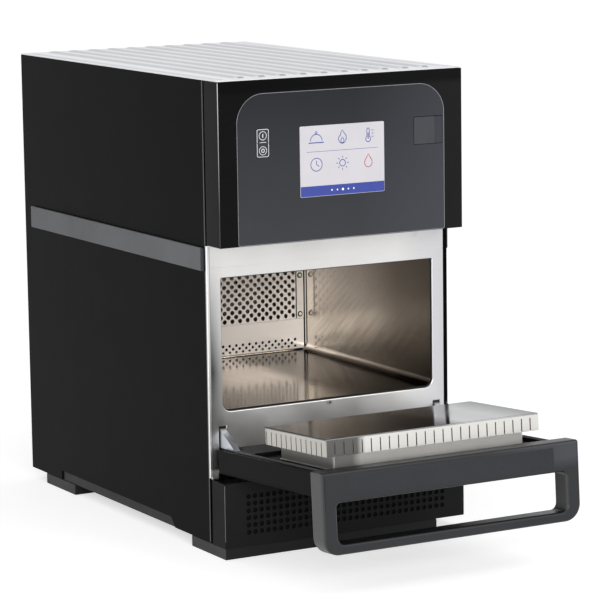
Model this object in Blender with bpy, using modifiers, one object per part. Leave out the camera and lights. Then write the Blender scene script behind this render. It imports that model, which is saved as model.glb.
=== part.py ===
"""Countertop speed oven with its drop-down door open.

Metres, +Z up. X is across the oven, the front faces -Y, and the feet stand on Z = 0.
Depths (Y) in the named sizes are measured from the front plane of the control housing,
and the root empty then centres the finished oven on the origin.
"""
import math

import bmesh
import bpy
from mathutils import Matrix, Vector

# Overall body
BODY_WIDTH = 0.356
BODY_HEIGHT = 0.609
BODY_DEPTH = 0.5904
GAP = 0.0003
CUT_OVERRUN = 0.004
WELD_DISTANCE = 0.00001
CASING_SHEET = 0.0015
CASING_SEAM = 0.0008

# Feet
FOOT_HEIGHT = 0.0146
FOOT_EDGE = 0.0012
FRONT_FOOT_DEPTH = 0.094
FRONT_FOOT_RIGHT_INSET = 0.042
REAR_FOOT_START = 0.448
REAR_FOOT_DEPTH = 0.095

# Side casings: a long notch in the bottom edge, its front end sloped
NOTCH_HEIGHT = 0.0126
NOTCH_FRONT = 0.140
NOTCH_SLOPE = 0.012
NOTCH_REAR = 0.490

# Grey strips along both sides
STRIP_FRONT = 0.047
STRIP_REAR = 0.562
STRIP_BOTTOM = 0.365
STRIP_HEIGHT = 0.0295
STRIP_PROUD = 0.0045
STRIP_CORNER = 0.008
STRIP_EDGE = 0.0016

# Ribbed top panel
TOP_FRONT = 0.0015
TOP_RIB_HEIGHT = 0.0018
TOP_RIB_PITCH = 0.030
TOP_RIB_WIDTH = 0.0155
TOP_RIB_SIDE_INSET = 0.0425
TOP_RIB_FRONT = 0.018
TOP_RIB_REAR_INSET = 0.012
TOP_RIB_CORNER = 0.004

# Rear panel
REAR_SLOT_COLUMNS = 3
REAR_SLOT_ROWS = 8
REAR_SLOT_LENGTH = 0.066
REAR_SLOT_HEIGHT = 0.005
REAR_SLOT_PITCH_X = 0.082
REAR_SLOT_PITCH_Z = 0.013
REAR_SLOT_TOP_INSET = 0.0694
REAR_SCREW_RADIUS = 0.004
REAR_SCREW_PROUD = 0.0022
REAR_SCREW_INSET = 0.012
GLAND_SIDE_INSET = 0.058
GLAND_Z = 0.070
GLAND_RADIUS = 0.011
GLAND_NUT_RADIUS = 0.016
GLAND_PROUD = 0.004
GLAND_INSIDE = 0.014
GLAND_BORE = 0.005

# Base tray
TRAY_FLANGE_HEIGHT = 0.030

# Control housing above the door
HOUSING_DEPTH = 0.0368
HOUSING_BOTTOM = 0.3980
HOUSING_WALL = 0.003
HOUSING_EDGE = 0.0025
FASCIA_SIDE_INSET = 0.026
FASCIA_TOP_INSET = 0.0164
FASCIA_CORNER_SPACE = 0.005
FASCIA_RECESS = 0.0006
FASCIA_THICKNESS = 0.0021

# Display; heights on the fascia are shares of the fascia's height
SCREEN_WIDTH = 0.124
SCREEN_HEIGHT_SHARES = (0.2890, 0.7628)
SCREEN_CORNER = 0.002
SCREEN_GLASS_RECESS = 0.0003
MODULE_MARGIN = 0.005
MODULE_DEPTH = 0.012

# Power keys
KEY_SIDE_INSET = 0.0287
KEY_WIDTH = 0.0188
KEY_HEIGHT_SHARES = (0.5880, 0.7791)
KEY_CORNER = 0.003
KEY_TRAVEL_ROOM = 0.0012
KEY_BOARD_MARGIN = 0.005
KEY_WELL_MARGIN = 0.001
KEY_BOARD_THICKNESS = 0.0016

# Data port and its hinged cover
COVER_SIDE_INSET = 0.002
COVER_WIDTH = 0.042
COVER_HEIGHT_SHARES = (0.5969, 0.7749)
COVER_THICKNESS = 0.0015
COVER_GRIP_STRIP = 0.011
COVER_GROOVE_WIDTH = 0.0008
COVER_GROOVE_DEPTH = 0.0004
PORT_MARGIN = 0.003
PORT_PLATE = 0.0012
PORT_BODY_WIDTH = 0.017
PORT_BODY_HEIGHT = 0.009
PORT_BODY_DEPTH = 0.014
PORT_MOUTH_WIDTH = 0.0125
PORT_MOUTH_HEIGHT = 0.0050
PORT_MOUTH_DEPTH = 0.010
PORT_TONGUE_HEIGHT = 0.0018
PORT_TONGUE_WIDTH = 0.0084

# Control board behind the display
BOARD_THICKNESS = 0.0016
BOARD_PORT_CLEARANCE = 0.0005
BOARD_BELOW_SCREEN = 0.0132
BOARD_ABOVE_SCREEN = 0.014

# Stainless front frame
FRAME_RETURN = 0.020
FRAME_AIR_WINDOW_SIDE = 0.053
FRAME_AIR_WINDOW_BOTTOM = 0.052
FRAME_AIR_WINDOW_TOP = 0.090
FRAME_EDGE = 0.0014
FRAME_TOP_WINDOW_SIDE = 0.033
FRAME_TOP_WINDOW_RISE = 0.0289
FRAME_TOP_WINDOW_INSET = 0.0134

# Cavity
OPENING_SIDE_INSET = 0.021
OPENING_BOTTOM = 0.1843
OPENING_TOP = 0.3547
OPENING_LOWER_CORNER = 0.012
OPENING_UPPER_CORNER = 0.002
LINER_SHEET = 0.0012
CAVITY_BACK = 0.377
INSULATION_SIDE = 0.0135
INSULATION_BOTTOM = 0.010
INSULATION_TOP = 0.0118

# Panels on the cavity's rear wall
GRILLE_SIDE_INSET = 0.007
GRILLE_SHEET = 0.0012
GRILLE_SPLIT = 0.2293
GRILLE_EDGE_INSET = 0.0024
GRILLE_FLANGE = 0.012
GRILLE_SLOT_HEIGHT = 0.0065
GRILLE_SLOT_PITCH = 0.0125
GRILLE_SLOT_ROWS = 9
GRILLE_SLOT_BOTTOM = 0.2335
RETURN_SLOT_HEIGHT = 0.0034
RETURN_SLOT_PITCH = 0.0048
RETURN_SLOT_ROWS = 3
RETURN_SLOT_BOTTOM = 0.1892
GRILLE_SCREW_RADIUS = 0.0036
GRILLE_SCREW_HEIGHT = 0.0018
GRILLE_SCREW_LOW = 0.2357
GRILLE_SCREW_HIGH = 0.290
WINDOW_MARGIN = 0.0016

# Hot air fan, its chamber, heater and motor
CHAMBER_SIDE_INSET = 0.009
CHAMBER_BOTTOM = 0.186
CHAMBER_TOP = 0.352
CHAMBER_DEPTH = 0.0535
CHAMBER_SHEET = 0.0012
FAN_Z = 0.276
FAN_RADIUS = 0.050
FAN_FRONT = 0.392
FAN_WIDTH = 0.024
FAN_DISC = 0.0015
FAN_HUB_RADIUS = 0.009
FAN_BLADES = 8
FAN_BLADE_THICKNESS = 0.0015
FAN_BLADE_ROOT = 0.020
SHAFT_RADIUS = 0.004
SHAFT_BORE_CLEARANCE = 0.00018
SHAFT_FRONT_INSET = 0.002
SHAFT_IN_MOTOR = 0.030
SHAFT_WALL_HOLE = 0.0065
HEATER_RADIUS = 0.062
HEATER_TUBE = 0.003
HEATER_Y = 0.404
HEATER_LEG_HALF_ANGLE = math.radians(11)
HEATER_LEG_REAR = 0.440
MOTOR_RADIUS = 0.034
MOTOR_LENGTH = 0.046
MOTOR_FLANGE_RADIUS = 0.042
MOTOR_FLANGE = 0.002

# Component shelf above the cavity and what stands on it
SHELF_SHEET = 0.0012
WAVEGUIDE_X = 0.070
WAVEGUIDE_WIDTH = 0.080
WAVEGUIDE_FRONT = 0.180
WAVEGUIDE_DEPTH = 0.150
WAVEGUIDE_HEIGHT = 0.022
WAVEGUIDE_SHEET = 0.0012
WAVEGUIDE_FOOT_DEPTH = 0.034
WAVEGUIDE_FOOT_INSET = 0.008
MAGNETRON_WIDTH = 0.088
MAGNETRON_DEPTH = 0.078
MAGNETRON_HEIGHT = 0.086
MAGNETRON_FIN_COUNT = 6
MAGNETRON_FIN = 0.004
MAGNETRON_FIN_PITCH = 0.010
MAGNETRON_FIN_CUT = 0.022
CAPACITOR_SIDE_INSET = 0.058
CAPACITOR_RADIUS = 0.020
CAPACITOR_FRONT = 0.400
CAPACITOR_LENGTH = 0.090
POWER_BOARD_CAPACITOR_SPACE = 0.040
POWER_BOARD_SIDE_INSET = 0.038
POWER_BOARD_FRONT = 0.400
POWER_BOARD_DEPTH = 0.150
POWER_BOARD_STANDOFF = 0.010
POWER_BOARD_STANDOFF_RADIUS = 0.004
POWER_BOARD_INSET = 0.010

# Lower compartment
COOLER_SIZE = 0.119
COOLER_DEPTH = 0.038
COOLER_FRONT = 0.130
COOLER_BORE = 0.055
COOLER_BLADE_RADIUS = 0.0535
COOLER_HUB_RADIUS = 0.021
COOLER_BLADES = 7
COOLER_BLADE_THICKNESS = 0.0018
COOLER_BLADE_WIDTH_SHARE = 0.9
COOLER_BLADE_ROOT_SHARE = 0.6
COOLER_BLADE_PITCH = math.radians(38)
COOLER_ROTOR_DEPTH = 0.022
COOLER_MOTOR_RADIUS = 0.020
COOLER_MOTOR_DEPTH = 0.010
COOLER_BORE_FLOOR = 0.002
COOLER_SEAT_WALL = 0.0073
COOLER_STRUT = 0.005
COOLER_SHAFT_RADIUS = 0.0025
COOLER_SHAFT_LENGTH = 0.016
TRANSFORMER_SIDE_INSET = 0.023
TRANSFORMER_WIDTH = 0.095
TRANSFORMER_FRONT = 0.260
TRANSFORMER_DEPTH = 0.110
TRANSFORMER_HEIGHT = 0.085
COIL_PROUD = 0.018
COIL_INSET = 0.018
COIL_EDGE = 0.006

# Perforated vent panel below the door, with the air filter behind it
VENT_TOP = 0.0983
VENT_SIDE_DEPTH = 0.034
VENT_TOP_DEPTH = 0.026
VENT_HOLE_RADIUS = 0.0031
VENT_HOLE_PITCH_X = 0.0093
VENT_HOLE_SIDE_INSET = 0.0335
VENT_HOLE_PITCH_Z = 0.0093
VENT_HOLE_ROWS = 6
VENT_HOLE_BOTTOM = 0.0325
FILTER_THICKNESS = 0.008

# Door: sizes along the door are measured from its hinge axis
HINGE_Y = 0.0106
HINGE_Z = 0.1177
DOOR_TILT = math.radians(3.8)
DOOR_SIDE_INSET = 0.006
DOOR_RIM = 0.02138
DOOR_THICKNESS = 0.031
DOOR_HEEL = 0.0166
DOOR_REACH = 0.2407
DOOR_INNER_HEEL_ROUND = 0.003
DOOR_OUTER_HEEL_ROUND = 0.004
PAN_WALL = 0.0027
PAN_RIM_STEP = 0.0008
SURROUND_THICKNESS = 0.008
SURROUND_RIM = 0.011
SURROUND_GROOVE_DEPTH = 0.005
SURROUND_LAND = 0.004
SURROUND_HEEL_LAND = 0.052
SURROUND_CORNER = 0.006
CHOKE_SIDE_CLEARANCE = 0.0045
CHOKE_NEAR = 0.0724
CHOKE_FAR_INSET = 0.0107
CHOKE_UNDERSIDE = 0.0141
CHOKE_TOP = 0.036
CHOKE_SHEET = 0.0012
CHOKE_EDGE = 0.0015
CHOKE_SLOT_PITCH = 0.013
CHOKE_SLOT_WIDTH = 0.002
CHOKE_SLOT_TOP_LAND = 0.003
CHOKE_SLOT_SIDE_INSET = 0.009
CHOKE_SLOT_END_INSET = 0.007
PEDESTAL_SIDE_INSET = 0.0155
PEDESTAL_END_INSET = 0.013
PEDESTAL_SHEET = 0.0012

# Handle: a loop that stands out from the top of the closed door
HANDLE_OVERHANG = 0.012
HANDLE_DEPTH = 0.030
HANDLE_RISE = 0.003
HANDLE_DROP = 0.098
HANDLE_BAND = 0.035
HANDLE_BAR = 0.013
HANDLE_SIDE = 0.020
HANDLE_OUTER_CORNER = 0.022
HANDLE_TOP_CORNER = 0.003
HANDLE_WINDOW_CORNER = 0.006
HANDLE_EDGE = 0.0035
HANDLE_CORNER_STEPS = 6
HANDLE_SHARP_ANGLE = math.radians(60)
LABEL_SIDE_INSET = 0.038
LABEL_TOP_INSET = 0.006
LABEL_HEIGHT = 0.026
LABEL_CORNER = 0.003
LABEL_DEPTH = 0.0006
HANDLE_SCREW_RADIUS = 0.0025
HANDLE_SCREW_HEAD_RADIUS = 0.0045
HANDLE_SCREW_HEAD = 0.0025
HANDLE_SCREW_GRIP = 0.014
HANDLE_SCREW_DROP = 0.018
HANDLE_SCREW_SIDE_INSET = 0.032
HANDLE_SCREW_INNER_X = 0.050

# Door stays, hinge pins and hinge brackets
STAY_DOOR_INSET = 0.0165
STAY_WIDTH = 0.008
STAY_SHEET = 0.0015
STAY_SLOT_CLEARANCE = 0.001
STAY_TIP_Y = -0.0116
STAY_TIP_Z = 0.0223
STAY_NECK_Z = 0.0452
STAY_HOOK_TOP = 0.0525
STAY_HOOK_LENGTH = 0.0075
STAY_HOOK_GAP = 0.0006
STAY_TAIL_BOTTOM = 0.038
STAY_LOWER_EDGE = 0.0004
STAY_BASE_HALF = 0.009
STAY_BASE_HEEL = 0.0128
FRAME_SLOT_BOTTOM = 0.0885
FRAME_SLOT_TOP = 0.1648
PIN_RADIUS = 0.003
PIN_END_INNER = 0.0015
PIN_END_OUTER = 0.002
PIN_BORE_CLEARANCE = 0.00015
EAR_STAY_OFFSET = 0.007
EAR_SHEET = 0.003
EAR_HALF_HEIGHT = 0.0053
EAR_SIDE_CLEARANCE = 0.0009
EAR_NOTCH_REACH = 0.0075
BRACKET_FLANGE_WIDTH = 0.018
BRACKET_BOTTOM = 0.066
BRACKET_TOP = 0.131
BRACKET_REAR = 0.080
SWITCH_FRONT = 0.060
SWITCH_DEPTH = 0.016
SWITCH_WIDTH = 0.0112
SWITCH_BOTTOM = 0.068
SWITCH_HEIGHT = 0.0148

# Looks: base colour, roughness, metallic
GLOSS_BLACK = ((0.012, 0.012, 0.013), 0.16, 0.0)
HOUSING_BLACK = ((0.010, 0.010, 0.011), 0.14, 0.0)
VENT_BLACK = ((0.012, 0.012, 0.013), 0.3, 0.0)
REAR_BLACK = ((0.014, 0.014, 0.015), 0.35, 0.0)
SURROUND_BLACK = ((0.016, 0.016, 0.017), 0.3, 0.0)
MATTE_BLACK = ((0.02, 0.02, 0.02), 0.5, 0.0)
FOAM_BLACK = ((0.03, 0.03, 0.03), 0.9, 0.0)
FOOT_GREY = ((0.062, 0.062, 0.062), 0.5, 0.0)
STRIP_GREY = ((0.135, 0.138, 0.145), 0.38, 0.0)
FASCIA_GREY = ((0.055, 0.060, 0.068), 0.3, 0.0)
KEY_GREY = ((0.05, 0.055, 0.062), 0.35, 0.0)
COVER_GREY = ((0.05, 0.052, 0.056), 0.2, 0.0)
HANDLE_GREY = ((0.050, 0.052, 0.056), 0.42, 0.0)
SCREEN_PALE = ((0.69, 0.69, 0.76), 0.12, 0.0)
TOP_STEEL = ((0.76, 0.76, 0.75), 0.34, 0.85)
FRAME_STEEL = ((0.74, 0.74, 0.73), 0.3, 0.95)
CAVITY_STEEL = ((0.46, 0.41, 0.34), 0.32, 0.95)
GRILLE_STEEL = ((0.66, 0.62, 0.54), 0.3, 0.9)
CHOKE_STEEL = ((0.70, 0.69, 0.67), 0.2, 0.97)
ZINC = ((0.50, 0.51, 0.53), 0.35, 0.9)
FAN_STEEL = ((0.55, 0.53, 0.5), 0.35, 0.95)
GROUND_STEEL = ((0.6, 0.6, 0.6), 0.25, 1.0)
HEATER_METAL = ((0.12, 0.10, 0.09), 0.5, 0.8)
BRIGHT_METAL = ((0.55, 0.55, 0.55), 0.3, 0.95)
MOTOR_METAL = ((0.25, 0.25, 0.26), 0.4, 0.8)
INSULATION_WOOL = ((0.62, 0.58, 0.42), 0.95, 0.0)
BOARD_GREEN = ((0.02, 0.16, 0.06), 0.45, 0.0)

# Facets
ARC_STEPS = 4
ROUND_SIDES = 16
SMALL_SIDES = 12
HOLE_SIDES = 6
TUBE_RESOLUTION = 2
HEATER_STEPS = 28
SHARP_ANGLE = math.radians(35)

# Places worked out from the sizes above
HALF_WIDTH = BODY_WIDTH / 2
CASING_INNER = HALF_WIDTH - CASING_SHEET
CASING_BOTTOM = FOOT_HEIGHT + GAP
TOP_SHEET_TOP = BODY_HEIGHT - TOP_RIB_HEIGHT
CASING_TOP = TOP_SHEET_TOP - CASING_SHEET - GAP
FRAME_FRONT = HOUSING_DEPTH + GAP
FRAME_BACK = FRAME_FRONT + CASING_SHEET
CASING_FRONT = FRAME_BACK + CASING_SEAM
FIT_HALF = CASING_INNER - GAP
REAR_PANEL_FRONT = BODY_DEPTH - CASING_SHEET
TRAY_TOP = CASING_BOTTOM + CASING_SHEET
FRAME_BOTTOM = CASING_BOTTOM + TRAY_FLANGE_HEIGHT + GAP
FASCIA_BACK = FASCIA_RECESS + FASCIA_THICKNESS
FASCIA_HALF = HALF_WIDTH - FASCIA_SIDE_INSET
FASCIA_TOP = CASING_TOP - FASCIA_TOP_INSET
SCREEN_BOTTOM, SCREEN_TOP = (HOUSING_BOTTOM + share * (FASCIA_TOP - HOUSING_BOTTOM)
                             for share in SCREEN_HEIGHT_SHARES)
KEY_BOTTOM, KEY_TOP = (HOUSING_BOTTOM + share * (FASCIA_TOP - HOUSING_BOTTOM)
                       for share in KEY_HEIGHT_SHARES)
COVER_BOTTOM, COVER_TOP = (HOUSING_BOTTOM + share * (FASCIA_TOP - HOUSING_BOTTOM)
                           for share in COVER_HEIGHT_SHARES)
KEY_LEFT = KEY_SIDE_INSET - FASCIA_HALF
FASCIA_CORNER = FASCIA_TOP - COVER_TOP - FASCIA_CORNER_SPACE
COVER_LEFT = FASCIA_HALF - COVER_SIDE_INSET - COVER_WIDTH
PORT_X = COVER_LEFT + (COVER_WIDTH - COVER_GRIP_STRIP) / 2
BOARD_HALF = PORT_X - PORT_BODY_WIDTH / 2 - BOARD_PORT_CLEARANCE
GLAND_X = GLAND_SIDE_INSET - HALF_WIDTH
REAR_SLOT_BOTTOM = (CASING_TOP - REAR_SLOT_TOP_INSET - REAR_SLOT_HEIGHT
                    - (REAR_SLOT_ROWS - 1) * REAR_SLOT_PITCH_Z)
TOP_RIB_COUNT = 1 + int((BODY_WIDTH - 2 * TOP_RIB_SIDE_INSET) / TOP_RIB_PITCH)
VENT_HOLE_COLUMNS = 1 + int((BODY_WIDTH - 2 * VENT_HOLE_SIDE_INSET) / VENT_HOLE_PITCH_X)
OPENING_HALF = HALF_WIDTH - OPENING_SIDE_INSET
LINER_FRONT = FRAME_BACK + GAP
LINER_HALF = OPENING_HALF + LINER_SHEET
LINER_BOTTOM = OPENING_BOTTOM - LINER_SHEET
LINER_TOP = OPENING_TOP + LINER_SHEET
INSULATION_CEILING = LINER_TOP + GAP + INSULATION_TOP
SHELF_BOTTOM = INSULATION_CEILING + GAP
SHELF_TOP = SHELF_BOTTOM + SHELF_SHEET
GRILLE_FRONT = CAVITY_BACK - GAP - GRILLE_SHEET
GRILLE_HALF = OPENING_HALF - GRILLE_SIDE_INSET
CHAMBER_HALF = OPENING_HALF - CHAMBER_SIDE_INSET
CHAMBER_FRONT = CAVITY_BACK + LINER_SHEET + GAP
CHAMBER_BACK = CHAMBER_FRONT + CHAMBER_DEPTH
MOTOR_FRONT = CHAMBER_BACK + GAP
CAPACITOR_X = CAPACITOR_SIDE_INSET - HALF_WIDTH
POWER_BOARD_LEFT = CAPACITOR_X + CAPACITOR_RADIUS + POWER_BOARD_CAPACITOR_SPACE
TRANSFORMER_LEFT = TRANSFORMER_SIDE_INSET - HALF_WIDTH
OPEN_ANGLE = math.pi / 2 - DOOR_TILT
DOOR_HALF = HALF_WIDTH - DOOR_SIDE_INSET
DOOR_OUTSIDE = DOOR_RIM - DOOR_THICKNESS
PAN_FLOOR = DOOR_OUTSIDE + PAN_WALL
PAN_INNER_HALF = DOOR_HALF - PAN_WALL
SURROUND_HALF = PAN_INNER_HALF - GAP
HANDLE_HALF = DOOR_HALF + HANDLE_OVERHANG
HANDLE_NEAR = DOOR_REACH + GAP
HANDLE_FAR = HANDLE_NEAR + HANDLE_DEPTH
CHOKE_HALF = OPENING_HALF - CHOKE_SIDE_CLEARANCE
CHOKE_FAR = DOOR_REACH - CHOKE_FAR_INSET
CHOKE_SLOTS_ACROSS = 1 + int(2 * (CHOKE_HALF - CHOKE_SLOT_SIDE_INSET) / CHOKE_SLOT_PITCH)
CHOKE_SLOTS_ALONG = 1 + int((CHOKE_FAR - CHOKE_NEAR - 2 * CHOKE_SLOT_END_INSET) / CHOKE_SLOT_PITCH)
PEDESTAL_HALF = CHOKE_HALF - PEDESTAL_SIDE_INSET
PEDESTAL_NEAR = CHOKE_NEAR + PEDESTAL_END_INSET
PEDESTAL_FAR = CHOKE_FAR - PEDESTAL_END_INSET
STAY_INNER_X = DOOR_HALF - STAY_DOOR_INSET
EAR_INNER_X = STAY_INNER_X - EAR_STAY_OFFSET
FRONT_FACING = (math.pi / 2, 0, 0)
SIDE_FACING = (math.pi / 2, 0, math.pi / 2)
FLAT_LYING = (0, 0, 0)


def clear_scene():
    for old in list(bpy.data.objects):
        bpy.data.objects.remove(old, do_unlink=True)


def make_collection(name):
    collection = bpy.data.collections.new(name)
    bpy.context.scene.collection.children.link(collection)
    return collection


def make_material(name, colour, roughness, metallic=0.0):
    material = bpy.data.materials.new(name)
    material.use_nodes = True
    shader = material.node_tree.nodes["Principled BSDF"]
    shader.inputs["Base Color"].default_value = (*colour, 1)
    shader.inputs["Roughness"].default_value = roughness
    shader.inputs["Metallic"].default_value = metallic
    material.diffuse_color = (*colour, 1)
    return material


def make_empty(name, location, rotation, parent):
    empty = bpy.data.objects.new(name, None)
    empty.location = location
    empty.rotation_euler = rotation
    empty.parent = parent
    PARTS.objects.link(empty)
    return empty


def place(obj, parent, look):
    """Puts an object in the model with its material, or with the cutters when it has none."""
    obj.parent = parent
    if look is None:
        CUTTERS.objects.link(obj)
        obj.hide_render = True
        obj.display_type = "WIRE"
    else:
        colour, roughness, metallic = look
        obj.data.materials.clear()
        obj.data.materials.append(make_material(obj.name, colour, roughness, metallic))
        PARTS.objects.link(obj)
    return obj


def mesh_object(name, build):
    """Makes a mesh object from a function that fills a bmesh."""
    shape = bmesh.new()
    build(shape)
    mesh = bpy.data.meshes.new(name)
    shape.to_mesh(mesh)
    shape.free()
    return bpy.data.objects.new(name, mesh)


def box(name, low, high, parent, look=None, edge=0.0, segments=2):
    """A box between two corners, with rounded edges when an edge size is given."""
    size = [b - a for a, b in zip(low, high)]
    centre = [(a + b) / 2 for a, b in zip(low, high)]

    def build(shape):
        bmesh.ops.create_cube(shape, size=1)
        bmesh.ops.scale(shape, vec=size, verts=shape.verts)
        bmesh.ops.translate(shape, vec=centre, verts=shape.verts)

    obj = place(mesh_object(name, build), parent, look)
    if edge > 0:
        round_edges(obj, edge, segments)
    return obj


def round_edges(obj, width, segments=2, angle=SHARP_ANGLE):
    bevel = obj.modifiers.new("rounded edges", "BEVEL")
    bevel.width = width
    bevel.segments = segments
    bevel.limit_method = "ANGLE"
    bevel.angle_limit = angle
    bevel.use_clamp_overlap = True


def cylinder(name, axis, radius, low, high, centre, parent, look=None, sides=ROUND_SIDES):
    """A cylinder along X, Y or Z from low to high; centre gives its other two places."""
    turns = {"X": (0, math.pi / 2, 0), "Y": (math.pi / 2, 0, 0), "Z": (0, 0, 0)}

    def build(shape):
        bmesh.ops.create_cone(shape, cap_ends=True, segments=sides, radius1=radius,
                              radius2=radius, depth=high - low)

    obj = place(mesh_object(name, build), parent, look)
    middle = (low + high) / 2
    obj.location = {"X": (middle, *centre), "Y": (centre[0], middle, centre[1]),
                    "Z": (*centre, middle)}[axis]
    obj.rotation_euler = turns[axis]
    obj.data.shade_smooth()
    obj.data.set_sharp_from_angle(angle=SHARP_ANGLE)
    return obj


def arc(centre, radius, start, end, steps=ARC_STEPS):
    """Points along an arc, both ends included, with angles in turns of a quarter."""
    points = []
    for step in range(steps + 1):
        angle = (start + (end - start) * step / steps) * math.pi / 2
        points.append((centre[0] + radius * math.cos(angle), centre[1] + radius * math.sin(angle)))
    return points


def rounded_rectangle(left, bottom, right, top, lower, upper=None, steps=ARC_STEPS):
    """A rectangle's outline with its lower and upper corners rounded."""
    upper = lower if upper is None else upper
    return (arc((right - lower, bottom + lower), lower, -1, 0, steps)
            + arc((right - upper, top - upper), upper, 0, 1, steps)
            + arc((left + upper, top - upper), upper, 1, 2, steps)
            + arc((left + lower, bottom + lower), lower, 2, 3, steps))


def rectangle(left, bottom, right, top):
    return [(left, bottom), (right, bottom), (right, top), (left, top)]


def ring_of_points(centre, radius, sides=HOLE_SIDES):
    return arc(centre, radius, 0, 4 - 4 / sides, sides - 1)


def plate(name, facing, outlines, low, high, parent, look=None):
    """Flat outlines, holes inside them included, filled and given their thickness.

    Facing forwards an outline is (X, Z) and low and high are depths in Y; facing sideways it
    is (Y, Z) and they are places in X; lying flat it is (X, Y) and they are heights in Z.
    """
    curve = bpy.data.curves.new(name, "CURVE")
    curve.dimensions = "2D"
    curve.fill_mode = "BOTH"
    curve.extrude = (high - low) / 2
    for outline in outlines:
        spline = curve.splines.new("POLY")
        spline.points.add(len(outline) - 1)
        for point, (across, along) in zip(spline.points, outline):
            point.co = (across, along, 0, 1)
        spline.use_cyclic_u = True
    source = bpy.data.objects.new(name, curve)
    middle = (low + high) / 2
    source.location = {FRONT_FACING: (0, middle, 0), SIDE_FACING: (middle, 0, 0),
                       FLAT_LYING: (0, 0, middle)}[facing]
    source.rotation_euler = facing
    return place(curve_to_mesh(name, source), parent, look)


def tube(name, points, radius, parent, look=None, sides_level=TUBE_RESOLUTION):
    """A round bar or bent tube along a list of points."""
    curve = bpy.data.curves.new(name, "CURVE")
    curve.dimensions = "3D"
    curve.bevel_depth = radius
    curve.bevel_resolution = sides_level
    curve.use_fill_caps = True
    spline = curve.splines.new("POLY")
    spline.points.add(len(points) - 1)
    for point, place_at in zip(spline.points, points):
        point.co = (*place_at, 1)
    source = bpy.data.objects.new(name, curve)
    obj = place(curve_to_mesh(name, source), parent, look)
    obj.data.shade_smooth()
    obj.data.set_sharp_from_angle(angle=SHARP_ANGLE)
    return obj


def curve_to_mesh(name, source):
    """Turns a curve object into a welded mesh object at the same place."""
    PARTS.objects.link(source)
    bpy.context.view_layer.update()
    evaluated = source.evaluated_get(bpy.context.evaluated_depsgraph_get())
    mesh = bpy.data.meshes.new_from_object(evaluated)
    mesh.name = name
    shape = bmesh.new()
    shape.from_mesh(mesh)
    bmesh.ops.remove_doubles(shape, verts=shape.verts, dist=WELD_DISTANCE)
    bmesh.ops.recalc_face_normals(shape, faces=shape.faces)
    shape.to_mesh(mesh)
    shape.free()
    matrix = source.matrix_world.copy()
    curve = source.data
    bpy.data.objects.remove(source, do_unlink=True)
    bpy.data.curves.remove(curve)
    obj = bpy.data.objects.new(name, mesh)
    obj.matrix_basis = matrix
    return obj


def combine(target, tool, operation):
    boolean = target.modifiers.new(tool.name, "BOOLEAN")
    boolean.operation = operation
    boolean.solver = "EXACT"
    boolean.object = tool
    return target


def cut(target, *tools):
    for tool in tools:
        combine(target, tool, "DIFFERENCE")
    return target


def join(target, *tools):
    for tool in tools:
        combine(target, tool, "UNION")
    return target


def joined_boxes(name, corners, parent, look=None):
    """Separate boxes in one mesh, for a group of equal cutters or parts."""
    def build(shape):
        for low, high in corners:
            made = bmesh.ops.create_cube(shape, size=1)["verts"]
            bmesh.ops.scale(shape, vec=[b - a for a, b in zip(low, high)], verts=made)
            bmesh.ops.translate(shape, vec=[(a + b) / 2 for a, b in zip(low, high)], verts=made)

    return place(mesh_object(name, build), parent, look)


def joined_cylinders(name, axis, radius, low, high, centres, parent, look=None, sides=SMALL_SIDES):
    """Separate equal cylinders in one mesh."""
    turn = {"X": Vector((1, 0, 0)), "Y": Vector((0, 1, 0)), "Z": Vector((0, 0, 1))}[axis]
    rotation = turn.to_track_quat("Z", "Y").to_matrix()
    middle = (low + high) / 2

    def build(shape):
        for first, second in centres:
            made = bmesh.ops.create_cone(shape, cap_ends=True, segments=sides, radius1=radius,
                                         radius2=radius, depth=high - low)["verts"]
            bmesh.ops.rotate(shape, matrix=rotation, verts=made)
            at = {"X": (middle, first, second), "Y": (first, middle, second),
                  "Z": (first, second, middle)}[axis]
            bmesh.ops.translate(shape, vec=at, verts=made)

    obj = place(mesh_object(name, build), parent, look)
    obj.data.shade_smooth()
    obj.data.set_sharp_from_angle(angle=SHARP_ANGLE)
    return obj


def centred_places(count, pitch):
    return [(index - (count - 1) / 2) * pitch for index in range(count)]


def build_feet(root):
    box("foot_bar_front", (-HALF_WIDTH, 0, 0),
        (HALF_WIDTH - FRONT_FOOT_RIGHT_INSET, FRONT_FOOT_DEPTH, FOOT_HEIGHT), root,
        FOOT_GREY, FOOT_EDGE)
    box("foot_bar_rear", (-HALF_WIDTH, REAR_FOOT_START, 0),
        (HALF_WIDTH, REAR_FOOT_START + REAR_FOOT_DEPTH, FOOT_HEIGHT), root,
        FOOT_GREY, FOOT_EDGE)


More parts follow.
